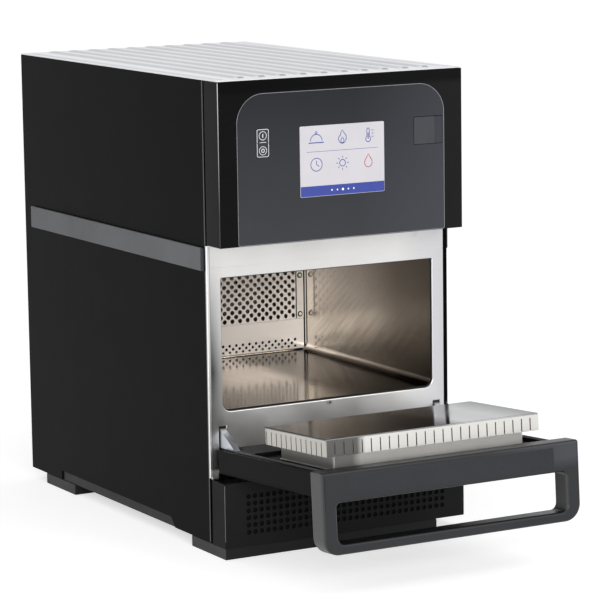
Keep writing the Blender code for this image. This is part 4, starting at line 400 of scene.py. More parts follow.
# this black colours the USB port, and also dark rings that are painted shade in the opening's gap and under the
# cavity's screws
PORT_AND_SHADE_BLACK = painted("port_black", "101011", 0.5, 0.3)
FAN_PLASTIC = painted("fan_plastic", "1B1B1D", 0.5, 0.35, 1200.0, 0.00004)
GLAND_BLACK = painted("gland_black", "161618", 0.55, 0.35, 1400.0, 0.00006)
FRAME_STEEL = brushed("frame_steel", "D6D5D4", 0.40, (1.5, 60.0, 60.0), 0.05, 0.4)
TOP_STEEL = brushed("top_steel", "E8E9EC", 0.42, (60.0, 1.5, 60.0), 0.03, 0.0, metallic=0.75)
CHOKE_STEEL = brushed("choke_steel", "949597", 0.10, (50.0, 1.2, 50.0), 0.04, 0.2)
PEDESTAL_STEEL = brushed("pedestal_steel", "DEDCD7", 0.32, (1.5, 20.0, 20.0), 0.05, scale=30.0, depth=0.000002, metallic=0.75)
SKIRT_STEEL = brushed("skirt_steel", "DAD8D3", 0.34, (1.5, 20.0, 20.0), 0.04, scale=30.0, depth=0.000002)
CAVITY_STEEL = brushed("cavity_steel", "B5ADA2", 0.22, (40.0, 1.4, 40.0), 0.05, 0.9, cloud_contrast=0.12)
GRILLE_STEEL = brushed("grille_steel", "FBF2EB", 0.34, (1.2, 50.0, 50.0), 0.03, depth=0.000003, cloud_contrast=0.03, metallic=0.13)
ZINC = brushed("zinc", "C3C6CB", 0.34, (9.0, 9.0, 9.0), 0.14, scale=90.0, cloud_contrast=0.15)
BRIGHT_STEEL = brushed("bright_steel", "C8C7C4", 0.26, (40.0, 1.0, 40.0), 0.06)
GUIDE_METAL = brushed("guide_metal", "BDBDBB", 0.36, (1.2, 40.0, 40.0), 0.06)
MOTOR_METAL = brushed("motor_metal", "77787B", 0.44, (20.0, 1.0, 20.0), 0.1)
SCREW_STEEL = brushed("screw_steel", "F2EEE8", 0.3, (9.0, 9.0, 9.0), 0.05, metallic=0.4)
HEATER_METAL = brushed("heater_metal", "5A5048", 0.5, (6.0, 6.0, 6.0), 0.2)
CHAMBER_STEEL = brushed("chamber_steel", "857E75", 0.42, (9.0, 9.0, 9.0), 0.2, scale=90.0, cloud_contrast=0.3)


def lit_right(look, amount, code):
    """A faint painted highlight: the paint lifts evenly towards the right of the front."""
    look.base = look.mix(look.span(look.axis("X"), -0.10, 0.17, 0.0, amount), look.base, linear(code))
    look.set("Base Color", look.base)


def painted_shade_top(look):
    """Painted shade: the strip of housing over the control panel stays darker."""
    above = look.span(look.axis("Z"), 0.586, 0.594, 1.0, 0.45)
    look.base = look.mix(1.0, look.base, look.ramp(above, (0.0, (0.0,) * 3), (1.0, (1.0,) * 3)), "MULTIPLY")
    look.set("Base Color", look.base)


def painted_highlight_band(look):
    """Painted highlight: the handle's band is paler towards its right end."""
    high = look.math("MULTIPLY", look.span(look.axis("Z"), 0.126, 0.140), look.span(look.axis("X"), 0.04, 0.165))
    look.base = look.mix(high, look.base, linear("404145"))
    look.set("Base Color", look.base)


def frame_painted_light_and_stains(look):
    """The front frame darkens down its left column: painted shade, standing in for the brushing catching less light
    there.
    """
    across = look.span(look.axis("X"), -0.154, -0.172)
    fold = look.span(look.axis("X"), -0.1758, -0.1742)
    down = look.span(look.axis("Z"), 0.385, 0.235)
    back = look.span(look.axis("Z"), 0.235, 0.165, 1.0, 0.45)
    amount = look.math("MULTIPLY", look.math("MULTIPLY", across, fold), look.math("MULTIPLY", down, back))
    shaded = look.mix(look.math("MULTIPLY", amount, 0.93), look.base, linear("303031"))
    # painted highlight: the lower left of the frame is lifted paler
    foot = look.span(look.axis("Z"), 0.205, 0.180, 0.0, 0.6)
    foot_highlight = look.mix(look.math("MULTIPLY", foot, look.span(look.axis("X"), -0.16, -0.12)), shaded, linear("F4F3F2"))
    marks = look.math("MULTIPLY", look.spots(55.0, 0.10, 0.42), look.span(look.noise(21.0, 4.0, 0.7), 0.50, 0.66))
    high = look.math("MULTIPLY", look.span(look.axis("Z"), 0.372, 0.382), look.span(look.axis("X"), 0.02, 0.09))
    stained = look.mix(look.math("MULTIPLY", look.math("MULTIPLY", marks, high), 0.5), foot_highlight, linear("9C968F"))
    # painted reflection: the right column is cooler and a little darker
    cooler_reflection = look.mix(look.span(look.axis("X"), 0.10, 0.165), stained, linear("C3C2C5"))
    # painted shade in the crease down the left edge
    line = look.math("MULTIPLY", look.span(look.axis("X"), -0.1752, -0.1748), look.span(look.axis("X"), -0.1736, -0.1740))
    crease_shade = look.mix(look.math("MULTIPLY", line, 0.5), cooler_reflection, linear("606062"))
    # painted shade behind the hinges and under the sill
    hinge = look.math("MULTIPLY", look.span(look.axis("Z"), 0.106, 0.102), look.span(look.axis("X"), -0.1672, -0.1662))
    below = look.span(look.axis("Z"), 0.0990, 0.0970)
    hinge_and_sill_shade = look.mix(look.math("MAXIMUM", hinge, below), crease_shade, linear("161617"))
    across = look.span(look.math("ABSOLUTE", look.math("ADD", look.axis("X"), 0.0035), 0.0), 0.006, 0.002)
    height = look.span(look.math("ABSOLUTE", look.math("SUBTRACT", look.axis("Z"), 0.1792), 0.0), 0.0035, 0.0010)
    weld = look.math("MULTIPLY", height, across)
    look.set("Base Color", look.mix(look.math("MULTIPLY", weld, 0.55), hinge_and_sill_shade, linear("8A7868")))


def rib_shade(look):
    """Painted shade on the roof's ribs: a greyer flank on one side, and a dark dimple at each rib's front end."""
    phase = look.math("FRACT", look.math("DIVIDE", look.math("ADD", look.axis("X"), 0.180), 0.030), 0.0)
    flank = look.math("MULTIPLY", look.span(phase, 0.14, 0.26), look.span(phase, 0.66, 0.50))
    depth = look.math("SUBTRACT", look.axis("Y"), FRONT)
    along = look.math("MULTIPLY", look.span(depth, 0.018, 0.030), look.span(depth, 0.580, 0.572))
    shaded = look.mix(look.math("MULTIPLY", look.math("MULTIPLY", flank, along), 0.44), look.base, linear("A2A3A8"))
    near = look.math("MULTIPLY", look.span(phase, 0.36, 0.40), look.span(phase, 0.72, 0.68))
    end = look.math("MULTIPLY", look.span(depth, 0.0175, 0.019), look.span(depth, 0.0245, 0.0225))
    look.set("Base Color", look.mix(look.math("MULTIPLY", look.math("MULTIPLY", near, end), 0.6), shaded,
                                    linear("6A6B6E")))


def face_light_and_shade(look, letter, low, high, amount, code):
    """Painted light and shade: one pair of faces, told apart by the way they look, takes another tone."""
    facing = look.math("ABSOLUTE", look.node("ShaderNodeSeparateXYZ", {
        0: look.node("ShaderNodeTexCoord").outputs["Normal"]}).outputs[letter], 0.0)
    look.base = look.mix(look.span(facing, low, high, 0.0, amount), look.base, linear(code))
    look.set("Base Color", look.base)


def end_shade(look, code):
    """Painted shade: the skirt's corner above the hinge side is duller, standing in for a dark reflection."""
    near = look.span(look.axis("X"), -0.098, -0.110, 0.0, 0.90)
    look.base = look.mix(near, look.base, linear(code))
    look.set("Base Color", look.base)


def choke_painted_reflection(look):
    """Painted reflection: the choke's cover is duller towards the hinge side, standing in for a dark reflection, and
    softer towards the other.
    """
    dark_reflection = look.math("MULTIPLY", look.span(look.axis("X"), 0.048, 0.012, 1.0, 0.50),
                     look.span(look.axis("X"), 0.10, 0.15, 1.0, 0.70))
    look.set("Base Color", look.mix(1.0, look.base, look.ramp(dark_reflection, (0.0, (0.0,) * 3), (1.0, (1.0,) * 3)), "MULTIPLY"))
    look.set("Specular Tint", dark_reflection)
    uneven = look.span(look.noise(30.0, 3.0), 0.3, 0.7, 0.92, 1.08)
    look.set("Roughness", look.math("MULTIPLY", uneven, look.span(look.axis("X"), 0.040, 0.075, 0.10, 0.17)))


def corner_painted_highlight(look):
    """Painted highlight: the housing's front corner is brighter towards its top."""
    height = look.span(look.axis("Z"), 0.44, 0.60)
    look.set("Base Color", look.mix(height, look.base, linear("C8C8CA")))


def dark_tip(look):
    """The door stays' hooks are dark and less metallic at their tips."""
    tip = look.span(look.axis("Z"), 0.1590, 0.1625)
    look.set("Base Color", look.mix(tip, look.base, linear("1A1A1B")))
    look.set("Metallic", look.span(tip, 0.0, 1.0, 1.0, 0.2))


STAY_ZINC = brushed("stay_zinc", "D4D8DE", 0.36, (9.0, 9.0, 9.0), 0.10, scale=90.0, cloud_contrast=0.1)
lit_right(HOUSING_BLACK, 0.8, "1F1F20")
painted_shade_top(HOUSING_BLACK)
painted_highlight_band(HANDLE_GREY)
frame_painted_light_and_stains(FRAME_STEEL)
rib_shade(TOP_STEEL)
dark_tip(STAY_ZINC)
corner_painted_highlight(CORNER_HIGHLIGHT_GREY)
end_shade(SKIRT_STEEL, "454442")
# painted shade on the skirt's side faces
face_light_and_shade(SKIRT_STEEL, "X", 0.5, 0.9, 0.85, "C4C1BA")
end_shade(PEDESTAL_STEEL, "858380")
PEDESTAL_STEEL.set("Roughness", PEDESTAL_STEEL.span(PEDESTAL_STEEL.noise(16.0, 3.0), 0.3, 0.7, 0.36, 0.40))
choke_painted_reflection(CHOKE_STEEL)
# painted light and shade on the faces of the handle, the vent and the feet
face_light_and_shade(HANDLE_GREY, "X", 0.5, 0.9, 0.8, "545454")
face_light_and_shade(HANDLE_GREY, "Z", 0.6, 0.9, 0.9, "0B0B0C")
face_light_and_shade(VENT_BLACK, "X", 0.5, 0.9, 0.95, "070707")
face_light_and_shade(VENT_BLACK, "Z", 0.5, 0.9, 0.95, "040404")
face_light_and_shade(FOOT_GREY, "Y", 0.5, 0.9, 0.85, "171717")
face_light_and_shade(FOOT_GREY, "X", 0.5, 0.9, 0.5, "4E4E4E")


def cavity_gloss_and_painted_light(look):
    """The cavity's floor and roof are polished; its walls smear reflections up and down. Its colours carry painted
    light and shade.
    """
    level = look.math("ABSOLUTE", look.node("ShaderNodeSeparateXYZ", {
        0: look.node("ShaderNodeTexCoord").outputs["Normal"]}).outputs["Z"], 0.0)
    uneven = look.span(look.noise(16.0, 3.0), 0.35, 0.7, 0.9, 1.12)
    look.set("Roughness", look.math("MULTIPLY", uneven, look.span(level, 0.3, 0.9, 0.17, 0.11)))
    look.set("Anisotropic", look.span(level, 0.3, 0.9, 0.84, 0.3))
    slope = look.math("ADD", look.math("MULTIPLY", look.axis("Y"), 0.745), look.axis("Z"))
    drift = look.math("SUBTRACT", look.axis("Y"), look.math("MULTIPLY", look.axis("Z"), 0.745))
    place = look.node("ShaderNodeCombineXYZ", {0: look.math("MULTIPLY", slope, 1.0),
                                               1: look.math("MULTIPLY", drift, 0.09)}).outputs[0]
    ripple = look.node("ShaderNodeTexNoise", {"Vector": place, "Scale": 105.0, "Detail": 2.0}).outputs["Fac"]
    streaks = look.ramp(ripple, (0.38, shade(linear("CBC3B7"), 0.80)), (0.62, linear("E6DED1")))
    walls = look.mix(0.65, look.base, streaks)
    # painted light and shade on the walls: paler up high and towards the rear, darker low down
    walls = look.mix(look.span(look.axis("Z"), 0.235, 0.285, 0.0, 0.75), walls, linear("F8F1E7"))
    walls = look.mix(look.span(look.axis("Z"), 0.240, 0.200, 0.0, 0.38), walls, linear("A39C92"))
    walls = look.mix(look.span(look.axis("Y"), 0.11, 0.20, 0.0, 0.35), walls, linear("FFF8EE"))
    # painted shade: the walls darken towards the front
    front = look.span(look.axis("Y"), 0.155, -0.04, 0.0, 0.82)
    walls = look.mix(front, walls, linear("7E776D"))
    # painted shade on the floor: darker towards the right and towards the front
    right = look.span(look.axis("X"), 0.010, 0.070, 0.0, 0.90)
    near = look.span(look.axis("Y"), 0.10, -0.10, 0.0, 0.5)
    lengthwise = look.node("ShaderNodeCombineXYZ", {
        0: look.math("ADD", look.axis("X"), look.math("MULTIPLY", look.axis("Y"), 0.3)),
        1: look.math("MULTIPLY", look.axis("Y"), 0.09)}).outputs[0]
    grain = look.node("ShaderNodeTexNoise", {"Vector": lengthwise, "Scale": 150.0, "Detail": 2.0}).outputs["Fac"]
    sheet = look.ramp(grain, (0.35, linear("A89F94")), (0.65, linear("BCB3A8")))
    base = look.mix(near, look.mix(right, sheet, linear("544F47")), linear("6C665E"))
    flat = look.span(level, 0.5, 0.95)
    look.set("Base Color", look.mix(flat, walls, base))
    # painted reflection: the floor's reflections are dimmed towards the right
    look.set("Specular Tint", look.span(look.math("MULTIPLY", right, flat), 0.0, 0.45, 1.0, 0.55))


cavity_gloss_and_painted_light(CAVITY_STEEL)


def screen_look():
    """The display: a pale, faintly uneven panel under glass that gives a little light of its own."""
    look = Look("screen", Roughness=0.16, Specular_IOR_Level=0.4, Coat_Weight=0.4, Coat_Roughness=0.06,
                Emission_Strength=0.05)
    wash = look.noise(10.0, 3.0, 0.5)
    pale = look.ramp(wash, (0.3, linear("BDBBC0")), (0.7, linear("C6C3C8")))
    look.set("Base Color", pale)
    look.set("Emission Color", pale)
    look.bump(look.noise(2500.0, 1.0), 0.05, 0.000004)
    return look


def ink(name, code):
    """Screen colours laid on the display."""
    colour = linear(code)
    look = Look(name, Roughness=0.22, Specular_IOR_Level=0.3)
    look.set("Base Color", look.ramp(look.noise(60.0, 2.0), (0.3, shade(colour, 0.94)), (0.7, shade(colour, 1.06))))
    look.bump(look.noise(2500.0, 1.0), 0.05, 0.000004)
    return look


def soft_solid(name, code, roughness, scale, depth, contrast):
    """Foam, wool or board: coarse mottling with an open, fibrous surface."""
    colour = linear(code)
    look = Look(name, Roughness=roughness, Specular_IOR_Level=0.2)
    look.set("Base Color", look.ramp(look.noise(scale, 6.0, 0.7), (0.25, shade(colour, 1 - contrast)),
                                     (0.75, shade(colour, 1 + contrast))))
    look.bump(look.noise(scale * 3, 5.0, 0.7), 0.6, depth)
    return look


SCREEN = screen_look()
SCREEN_BLUE = ink("screen_blue", "3A4694")
SCREEN_WHITE = ink("screen_white", "E9E9F1")
SCREEN_RED = ink("screen_red", "B4434E")
# this black colours the air filter, and also a plate and blocks that are painted shade behind the lower grille and in
# the rear sheets' gaps
FOAM_AND_SHADE_BLACK = soft_solid("filter_foam", "020203", 0.95, 300.0, 0.0004, 0.4)
WOOL = soft_solid("wool", "CDBE8C", 0.95, 120.0, 0.001, 0.25)
BOARD = soft_solid("board", "1E5A32", 0.5, 200.0, 0.00005, 0.2)


# ---- casing ----------------------------------------------------------------------------------

for side in ("left", "right"):
    keep(f"side_panel_{side}", GLOSS_BLACK.material, 0.6, 3)
    s = -1 if side == "left" else 1
    low, high = sorted((s * 178.3, s * 182.5))
    bar = block((low, 45.5, 365.0), (high, 562.0, 394.5), 1.2, 3)
    piece(f"bumper_{side}", moved(bar, at(0, FRONT)), STRIP_GREY.material,
          stands_for=[f"side_strip_{side}"])
    cap = block((low, 42.4, 365.0), (high, 45.9, 394.5), 1.4, 3)
    piece(f"bumper_end_{side}", moved(cap, at(0, FRONT)), STRIP_END.material)
    # a lighter strip down each side panel's front edge: a painted highlight
    low, high = sorted((s * 177.4, s * 178.4))
    seam = block((low, 39.6, 16.0), (high, 42.2, 605.0), 0.3, 2)
    piece(f"panel_edge_{side}", moved(seam, at(0, FRONT)), EDGE_HIGHLIGHT_GREY.material)
for bar in ("front", "rear"):
    keep(f"foot_bar_{bar}", FOOT_GREY.material, 0.3)
FASCIA_OUTLINE = rounded(rectangle(-151.7, 398.3, 151.7, 588.7), [3, 3, 38, 38], 32)
box_front = moved(plate([rounded_box_outline(-178.0, 398.0, 178.0, 605.4, 0.8, 3), FASCIA_OUTLINE], 3.0, 0.3, 2),
                  at(0, 1.5 * MM) @ UPRIGHT)
housing = joined(box_front, block((-178.0, 1.2, 398.0), (-175.0, 36.8, 605.4), 0.8, 2),
                 block((175.0, 1.2, 398.0), (178.0, 36.8, 605.4), 0.8, 2),
                 block((-176.0, 1.2, 602.4), (176.0, 36.8, 605.4), 0.3, 2),
                 block((-176.0, 2.8, 398.05), (176.0, 36.8, 400.0), 0.3, 2))
piece("control_box", moved(housing, at(0, FRONT)), HOUSING_BLACK.material,
      stands_for=["control_housing"])
# a lighter wire down the housing's left front corner: a painted highlight
corner_edge = wire([(-177.8, 0.2, 399.5), (-177.8, 0.2, 604.2)], 0.5)
piece("housing_edge", moved(corner_edge, at(0, FRONT)), CORNER_HIGHLIGHT_GREY.material)

for node, look in (
        ("rear_panel", REAR_BLACK), ("cord_gland", GLAND_BLACK), ("base_tray", REAR_BLACK), ("component_shelf", ZINC),
        ("fan_chamber", CHAMBER_STEEL), ("cavity_insulation", WOOL), ("control_board", BOARD),
        ("power_board", BOARD), ("display_module", GUIDE_METAL), ("convection_fan", CHAMBER_STEEL),
        ("fan_shaft", BRIGHT_STEEL), ("cooling_fan", FAN_PLASTIC), ("cooling_fan_shaft", BRIGHT_STEEL),
        ("cooling_fan_shroud", FAN_PLASTIC), ("door_switch_left", FAN_PLASTIC), ("door_switch_right", FAN_PLASTIC),
        ("fan_motor", MOTOR_METAL), ("heater_element", HEATER_METAL), ("high_voltage_capacitor", GUIDE_METAL),
        ("hinge_bracket_left", MOTOR_METAL), ("hinge_bracket_right", MOTOR_METAL), ("hinge_pin_left", BRIGHT_STEEL),
        ("hinge_pin_right", BRIGHT_STEEL), ("magnetron_left", GUIDE_METAL), ("magnetron_right", GUIDE_METAL),
        ("power_transformer", MOTOR_METAL), ("waveguide_left", GUIDE_METAL), ("waveguide_right", GUIDE_METAL),
        ("air_filter", FOAM_AND_SHADE_BLACK), ("usb_port", PORT_AND_SHADE_BLACK), ("door_stay_left", STAY_ZINC), ("door_stay_right", STAY_ZINC)):
    keep(node, look.material)


def top_sheet():
    """The roof: one sheet with ten soft ribs that fade out at their ends, and rolled edges."""
    x_half, y0, y1, z_top, rib = 178.0, 1.5, 590.4, 607.2, 1.8
    pitch, half_width, first = 30.0, 7.75, -135.0
    xs = {-x_half, x_half}
    profile = (-half_width, -half_width * 0.82, -half_width * 0.62, -half_width * 0.3, 0.0)
    for i in range(10):
        for offset in profile:
            xs.update((first + pitch * i + offset, first + pitch * i - offset))
    for i in range(9):
        xs.add(first + pitch * (i + 0.5))
    xs.update((-170.0, 170.0, -x_half + 0.8, x_half - 0.8))
    ys = [y0, y0 + 0.8, 10.0, 18.0, 18.8, 19.8, 21.2, 23.5, 40.0]
    ys += [40.0 + (y1 - 60.0 - 40.0) * i / 12 for i in range(1, 13)]
    ys += [y1 - 18.0, y1 - 15.5, y1 - 14.0, y1 - 13.0, y1 - 12.0, y1 - 0.8, y1]
    xs, ys = sorted(xs), sorted(ys)

    def smooth(t):
        t = max(0.0, min(1.0, t))
        return t * t * (3 - 2 * t)

    def height(x, y):
        nearest = first + pitch * max(0, min(9, round((x - first) / pitch)))
        across = smooth((half_width - abs(x - nearest)) / (half_width * 0.4))
        along = smooth((y - 18.0) / 5.5) * smooth((y1 - 12.0 - y) / 5.5)
        edge = min(x + x_half, x_half - x, y - y0, y1 - y)
        rolled = 0.45 * (1 - smooth(edge / 0.8))
        return z_top + rib * across * along - rolled

    work = bmesh.new()
    grid = [[work.verts.new((x * MM, FRONT + y * MM, height(x, y) * MM)) for x in xs] for y in ys]
    for lower, upper in zip(grid, grid[1:]):
        for i in range(len(xs) - 1):
            work.faces.new((lower[i], lower[i + 1], upper[i + 1], upper[i]))
    rim = [e for e in work.edges if e.is_boundary]
    grown = bmesh.ops.extrude_edge_only(work, edges=rim)
    lowered = [v for v in grown["geom"] if isinstance(v, bmesh.types.BMVert)]
    for vertex in lowered:
        vertex.co.z = 605.7 * MM
    bmesh.ops.contextual_create(work, geom=[e for e in work.edges if e.is_boundary])
    bmesh.ops.recalc_face_normals(work, faces=work.faces)
    mesh = bpy.data.meshes.new("top")
    work.to_mesh(mesh)
    work.free()
    return mesh


piece("top_sheet", top_sheet(), TOP_STEEL.material, stands_for=["top_panel"], sharp=50)


# ---- vent panel below the door ---------------------------------------------------------------

def vent_panel():
    holes = [circle(9.3 * (column - 15.5), 32.5 + 9.3 * row, 3.1, 20) for row in range(6) for column in range(32)]
    outline = rounded_box_outline(-178.0, 14.9, 178.0, 98.3, 0.8, 3)
    face = moved(plate([outline] + holes, 1.5, 0.25, 1), at(0, FRONT + 0.75 * MM) @ UPRIGHT)
    side_left = block((-178.0, 1.2, 14.9), (-176.5, 34.0, 98.3), 0.3, 2)
    side_right = block((176.5, 1.2, 14.9), (178.0, 34.0, 98.3), 0.3, 2)
    lip = block((-177.0, 1.2, 96.8), (177.0, 26.0, 98.3), 0.3, 2)
    sill = block((-177.0, 1.2, 14.9), (177.0, 26.0, 16.4), 0.3, 2)
    sides = joined(side_left, side_right, lip, sill)
    return joined(face, moved(sides, at(0, FRONT)))


# a lighter wire down the vent's left front corner: a painted highlight
corner = wire([(-177.9, 0.1, 24.0), (-177.9, 0.1, 60.0), (-177.9, 0.1, 96.0)], 0.4, steps=2)
piece("vent_corner", moved(corner, at(0, FRONT)), VENT_EDGE_HIGHLIGHT.material)
piece("vent_cover", vent_panel(), VENT_BLACK.material, stands_for=["vent_panel"])


# ---- control fascia --------------------------------------------------------------------------

KEY_POCKET = rounded_box_outline(-124.4, 507.8, -105.0, 544.4, 3.0)
SCREEN_POCKET = rounded_box_outline(-62.0, 453.2, 62.0, 543.7, 2.0)
COVER_POCKET = rounded_box_outline(105.8, 509.8, 148.9, 545.8, 1.0)


def fascia_look():
    """Moulded grey, with a painted reflection that lightens it towards its foot."""
    look = Look("fascia", Specular_IOR_Level=0.15)
    rise = look.span(look.axis("Z"), 0.400, 0.590)
    tone = look.ramp(rise, (0.0, linear("36383C")), (0.5, linear("2E3034")), (1.0, linear("212225")))
    mottled = look.ramp(look.noise(14.0, 4.0, 0.6), (0.3, (0.93,) * 3), (0.7, (1.0,) * 3))
    even = look.mix(1.0, tone, mottled, "MULTIPLY")
    # painted reflection: paler towards the right
    side = look.span(look.axis("X"), 0.02, 0.15, 0.0, 0.30)
    look.set("Base Color", look.mix(side, even, linear("50525A")))
    look.set("Roughness", look.span(look.noise(25.0, 4.0), 0.3, 0.7, 0.36, 0.44))
    look.bump(look.noise(1300.0, 3.0), 0.3, 0.00002)
    return look


FASCIA = fascia_look()
face = plate([FASCIA_OUTLINE, KEY_POCKET, SCREEN_POCKET, COVER_POCKET], 2.1, 0.5, 3)
piece("fascia", moved(face, at(0, FRONT + 1.65 * MM) @ UPRIGHT), FASCIA.material,
      stands_for=["control_fascia"])


def outline_path(outline, inset, z=0.0):
    """The outline drawn in by a distance, as points at one height."""
    count = len(outline)
    path = []
    for i, (x, y) in enumerate(outline):
        before, after = Vector(outline[i - 1]), Vector(outline[(i + 1) % count])
        along = (after - before).normalized()
        path.append((x - along.y * inset, y + along.x * inset, z))
    return path


# a lighter bead round the fascia's edge: a painted highlight
bead = wire(outline_path(FASCIA_OUTLINE, 0.4), 0.5, closed=True, steps=2)
piece("fascia_bead", moved(bead, at(0, FRONT + 0.95 * MM) @ UPRIGHT), BEAD_HIGHLIGHT_GREY.material)

glass = plate([rounded_box_outline(-61.7, 453.5, 61.7, 543.4, 1.7)], 1.8, 0.25, 2)
piece("screen_panel", moved(glass, at(0, FRONT + 1.8 * MM) @ UPRIGHT), SCREEN.material,
      stands_for=["touch_screen"])
INK_Y = FRONT + 0.88 * MM


def stroke(points, width=0.9, closed=False):
    """A flat line of ink along points in mm."""
    curve = bpy.data.curves.new("ink", "CURVE")
    curve.dimensions = "3D"
    curve.extrude = 0.0
    curve.bevel_depth = width / 2
    curve.bevel_resolution = 1
    curve.use_fill_caps = not closed
    spline = curve.splines.new("POLY")
    spline.points.add(len(points) - 1)
    for point, (x, y) in zip(spline.points, points):
        point.co = (x, y, 0, 1)
    spline.use_cyclic_u = closed
    mesh = curve_to_mesh(curve)
    mesh.transform(Matrix.Diagonal((1, 1, 0.1 / width, 1)))
    return mesh


def arc(x, y, radius, start, end, steps=14):
    return [(x + radius * math.cos(math.radians(start + (end - start) * i / steps)),
             y + radius * math.sin(math.radians(start + (end - start) * i / steps))) for i in range(steps + 1)]


def screen_icons():
    """Plain line signs for the menu: a cloche, a flame, a thermometer, a clock and a sun; the drop is drawn apart."""
    marks = []
    x, y = -38.0, 527.0
    marks += [stroke(arc(x, y - 3, 8.5, 0, 180, 18) + [(x - 8.5, y - 3)], 1.0),
              stroke([(x - 11, y - 5.2), (x + 11, y - 5.2)], 1.3), stroke(circle(x, y + 7.4, 1.4, 12), 0.9, True)]
    x, y = 0.0, 527.0
    flame = [(0, 9), (2.8, 5), (5.6, 1.2), (5.8, -3), (3.4, -7), (0, -8.4), (-3.4, -7), (-5.8, -3), (-4.8, 0.6),
             (-2.8, 2.2), (-2.2, 5)]
    marks += [stroke([(x + a, y + b) for a, b in flame], 1.0, True),
              stroke([(x + a * 0.42, y - 4 + b * 0.42) for a, b in flame], 0.9, True)]
    x, y = 38.0, 527.0
    marks += [stroke(arc(x, y - 5, 3.6, 120, 420, 18) + arc(x, y + 7, 1.8, 0, 180, 8), 1.0, True),
              stroke([(x, y - 5), (x, y + 3)], 1.3)]
    marks += [stroke([(x + 5, y + b), (x + 8, y + b)], 0.8) for b in (-2, 2, 6)]
    x, y = -38.0, 494.0
    marks += [stroke(circle(x, y, 8.2, 28), 1.0, True), stroke([(x, y + 5), (x, y), (x + 4, y - 2.4)], 1.0)]
    x, y = 0.0, 494.0
    marks += [stroke(circle(x, y, 4.2, 20), 1.0, True)]
    marks += [stroke([(x + 6.4 * math.cos(a), y + 6.4 * math.sin(a)), (x + 9 * math.cos(a), y + 9 * math.sin(a))], 0.9)
              for a in (math.pi * i / 4 for i in range(8))]
    return marks


blue = screen_icons()
drop = [(38 + a, 494 + b) for a, b in ((0, 9), (2.6, 4.6), (5.2, 0.4), (5.6, -3.2), (3.6, -6.6), (0, -8),
                                       (-3.6, -6.6), (-5.6, -3.2), (-5.2, 0.4), (-2.6, 4.6))]
band = plate([rounded(rectangle(-61.2, 454.0, 61.2, 467.0), [1.5, 1.5, 0, 0], 4)], 0.06)
rule = plate([rectangle(-52, 510.2, 52, 510.7)], 0.06)
up = at(0, INK_Y) @ UPRIGHT
piece("screen_icons", moved(joined(band, rule, *blue), up), SCREEN_BLUE.material, weighted=False)
piece("screen_drop", moved(stroke(drop, 1.1, True), up), SCREEN_RED.material, weighted=False)
dots = [plate([circle(x, 460.5, 1.7 if x == 0 else 1.1, 16)], 0.1) for x in (-16, -8, 0, 8, 16)]
piece("screen_dots", moved(joined(*dots), at(0, INK_Y - 0.00004) @ UPRIGHT), SCREEN_WHITE.material,
      weighted=False)

for name, body, low, high in (("key_off", "off_key", 508.1, 526.0), ("key_on", "on_key", 526.3, 544.1)):
    radii = [2.7, 2.7, 0.4, 0.4] if name == "key_off" else [0.4, 0.4, 2.7, 2.7]
    cap = plate([rounded(rectangle(-124.1, low, -105.3, high), radii, 6)], 2.1, 0.3, 2)
    piece(f"{name}_cap", moved(cap, at(0, FRONT + 1.65 * MM) @ UPRIGHT), KEY_GREY.material, body,
          [name])
    middle = (low + high) / 2 + (-0.4 if name == "key_off" else 0.2)
    ring = stroke(circle(-114.7, middle, 5.2, 28), 0.9, True)
    if name == "key_off":
        sign = stroke(circle(-114.7, middle, 2.1, 20), 1.2, True)
        frame_line = [(-122.8, 525.9), (-122.8, 511.0)] + arc(-120.8, 511.0, 2.0, 180, 270, 5) + \
            arc(-108.6, 511.0, 2.0, 270, 360, 5) + [(-106.6, 525.9)]
    else:
        sign = stroke([(-114.7, middle - 2.4), (-114.7, middle + 2.4)], 1.5)
        frame_line = [(-106.6, 526.4), (-106.6, 541.3)] + arc(-108.6, 541.3, 2.0, 0, 90, 5) + \
            arc(-120.8, 541.3, 2.0, 90, 180, 5) + [(-122.8, 526.4)]
        sign = joined(sign, stroke([(-119.3, 527.0), (-110.0, 527.0)], 0.9))
    signs = joined(ring, sign, stroke(frame_line, 0.9))
    piece(f"{name}_sign", moved(signs, at(0, FRONT + 0.58 * MM) @ UPRIGHT), MARK_GREY.material, body,
          weighted=False)

well = rectangle(-124.9, 507.3, -104.5, 545.2)
board = joined(moved(plate([rectangle(-128.3, 505.3, -99.5, 551.8), well], 0.9), at(0, 3.45 * MM) @ UPRIGHT),
               moved(plate([rectangle(-128.3, 505.3, -99.5, 551.8)], 1.6), at(0, 4.7 * MM) @ UPRIGHT))
piece("key_circuit", moved(board, at(0, FRONT)), BOARD.material, stands_for=["key_board"])

cover = joined(plate([rounded_box_outline(106.4, 510.4, 137.0, 545.2, 0.9, 4)], 1.5, 0.45, 3),
               moved(block((136.4, 511.0, -0.5), (138.6, 544.6, 0.35)), at()))
grip = plate([rounded_box_outline(137.8, 510.4, 148.5, 545.2, 0.9, 4)], 1.5, 0.3, 2)
flush = at(0, FRONT + 1.05 * MM) @ UPRIGHT
piece("port_door", moved(cover, flush), COVER_GREY.material, "port_cover", ["usb_cover"])
piece("port_grip", moved(grip, flush), FASCIA.material, "port_cover")


# ---- front frame and cavity ------------------------------------------------------------------

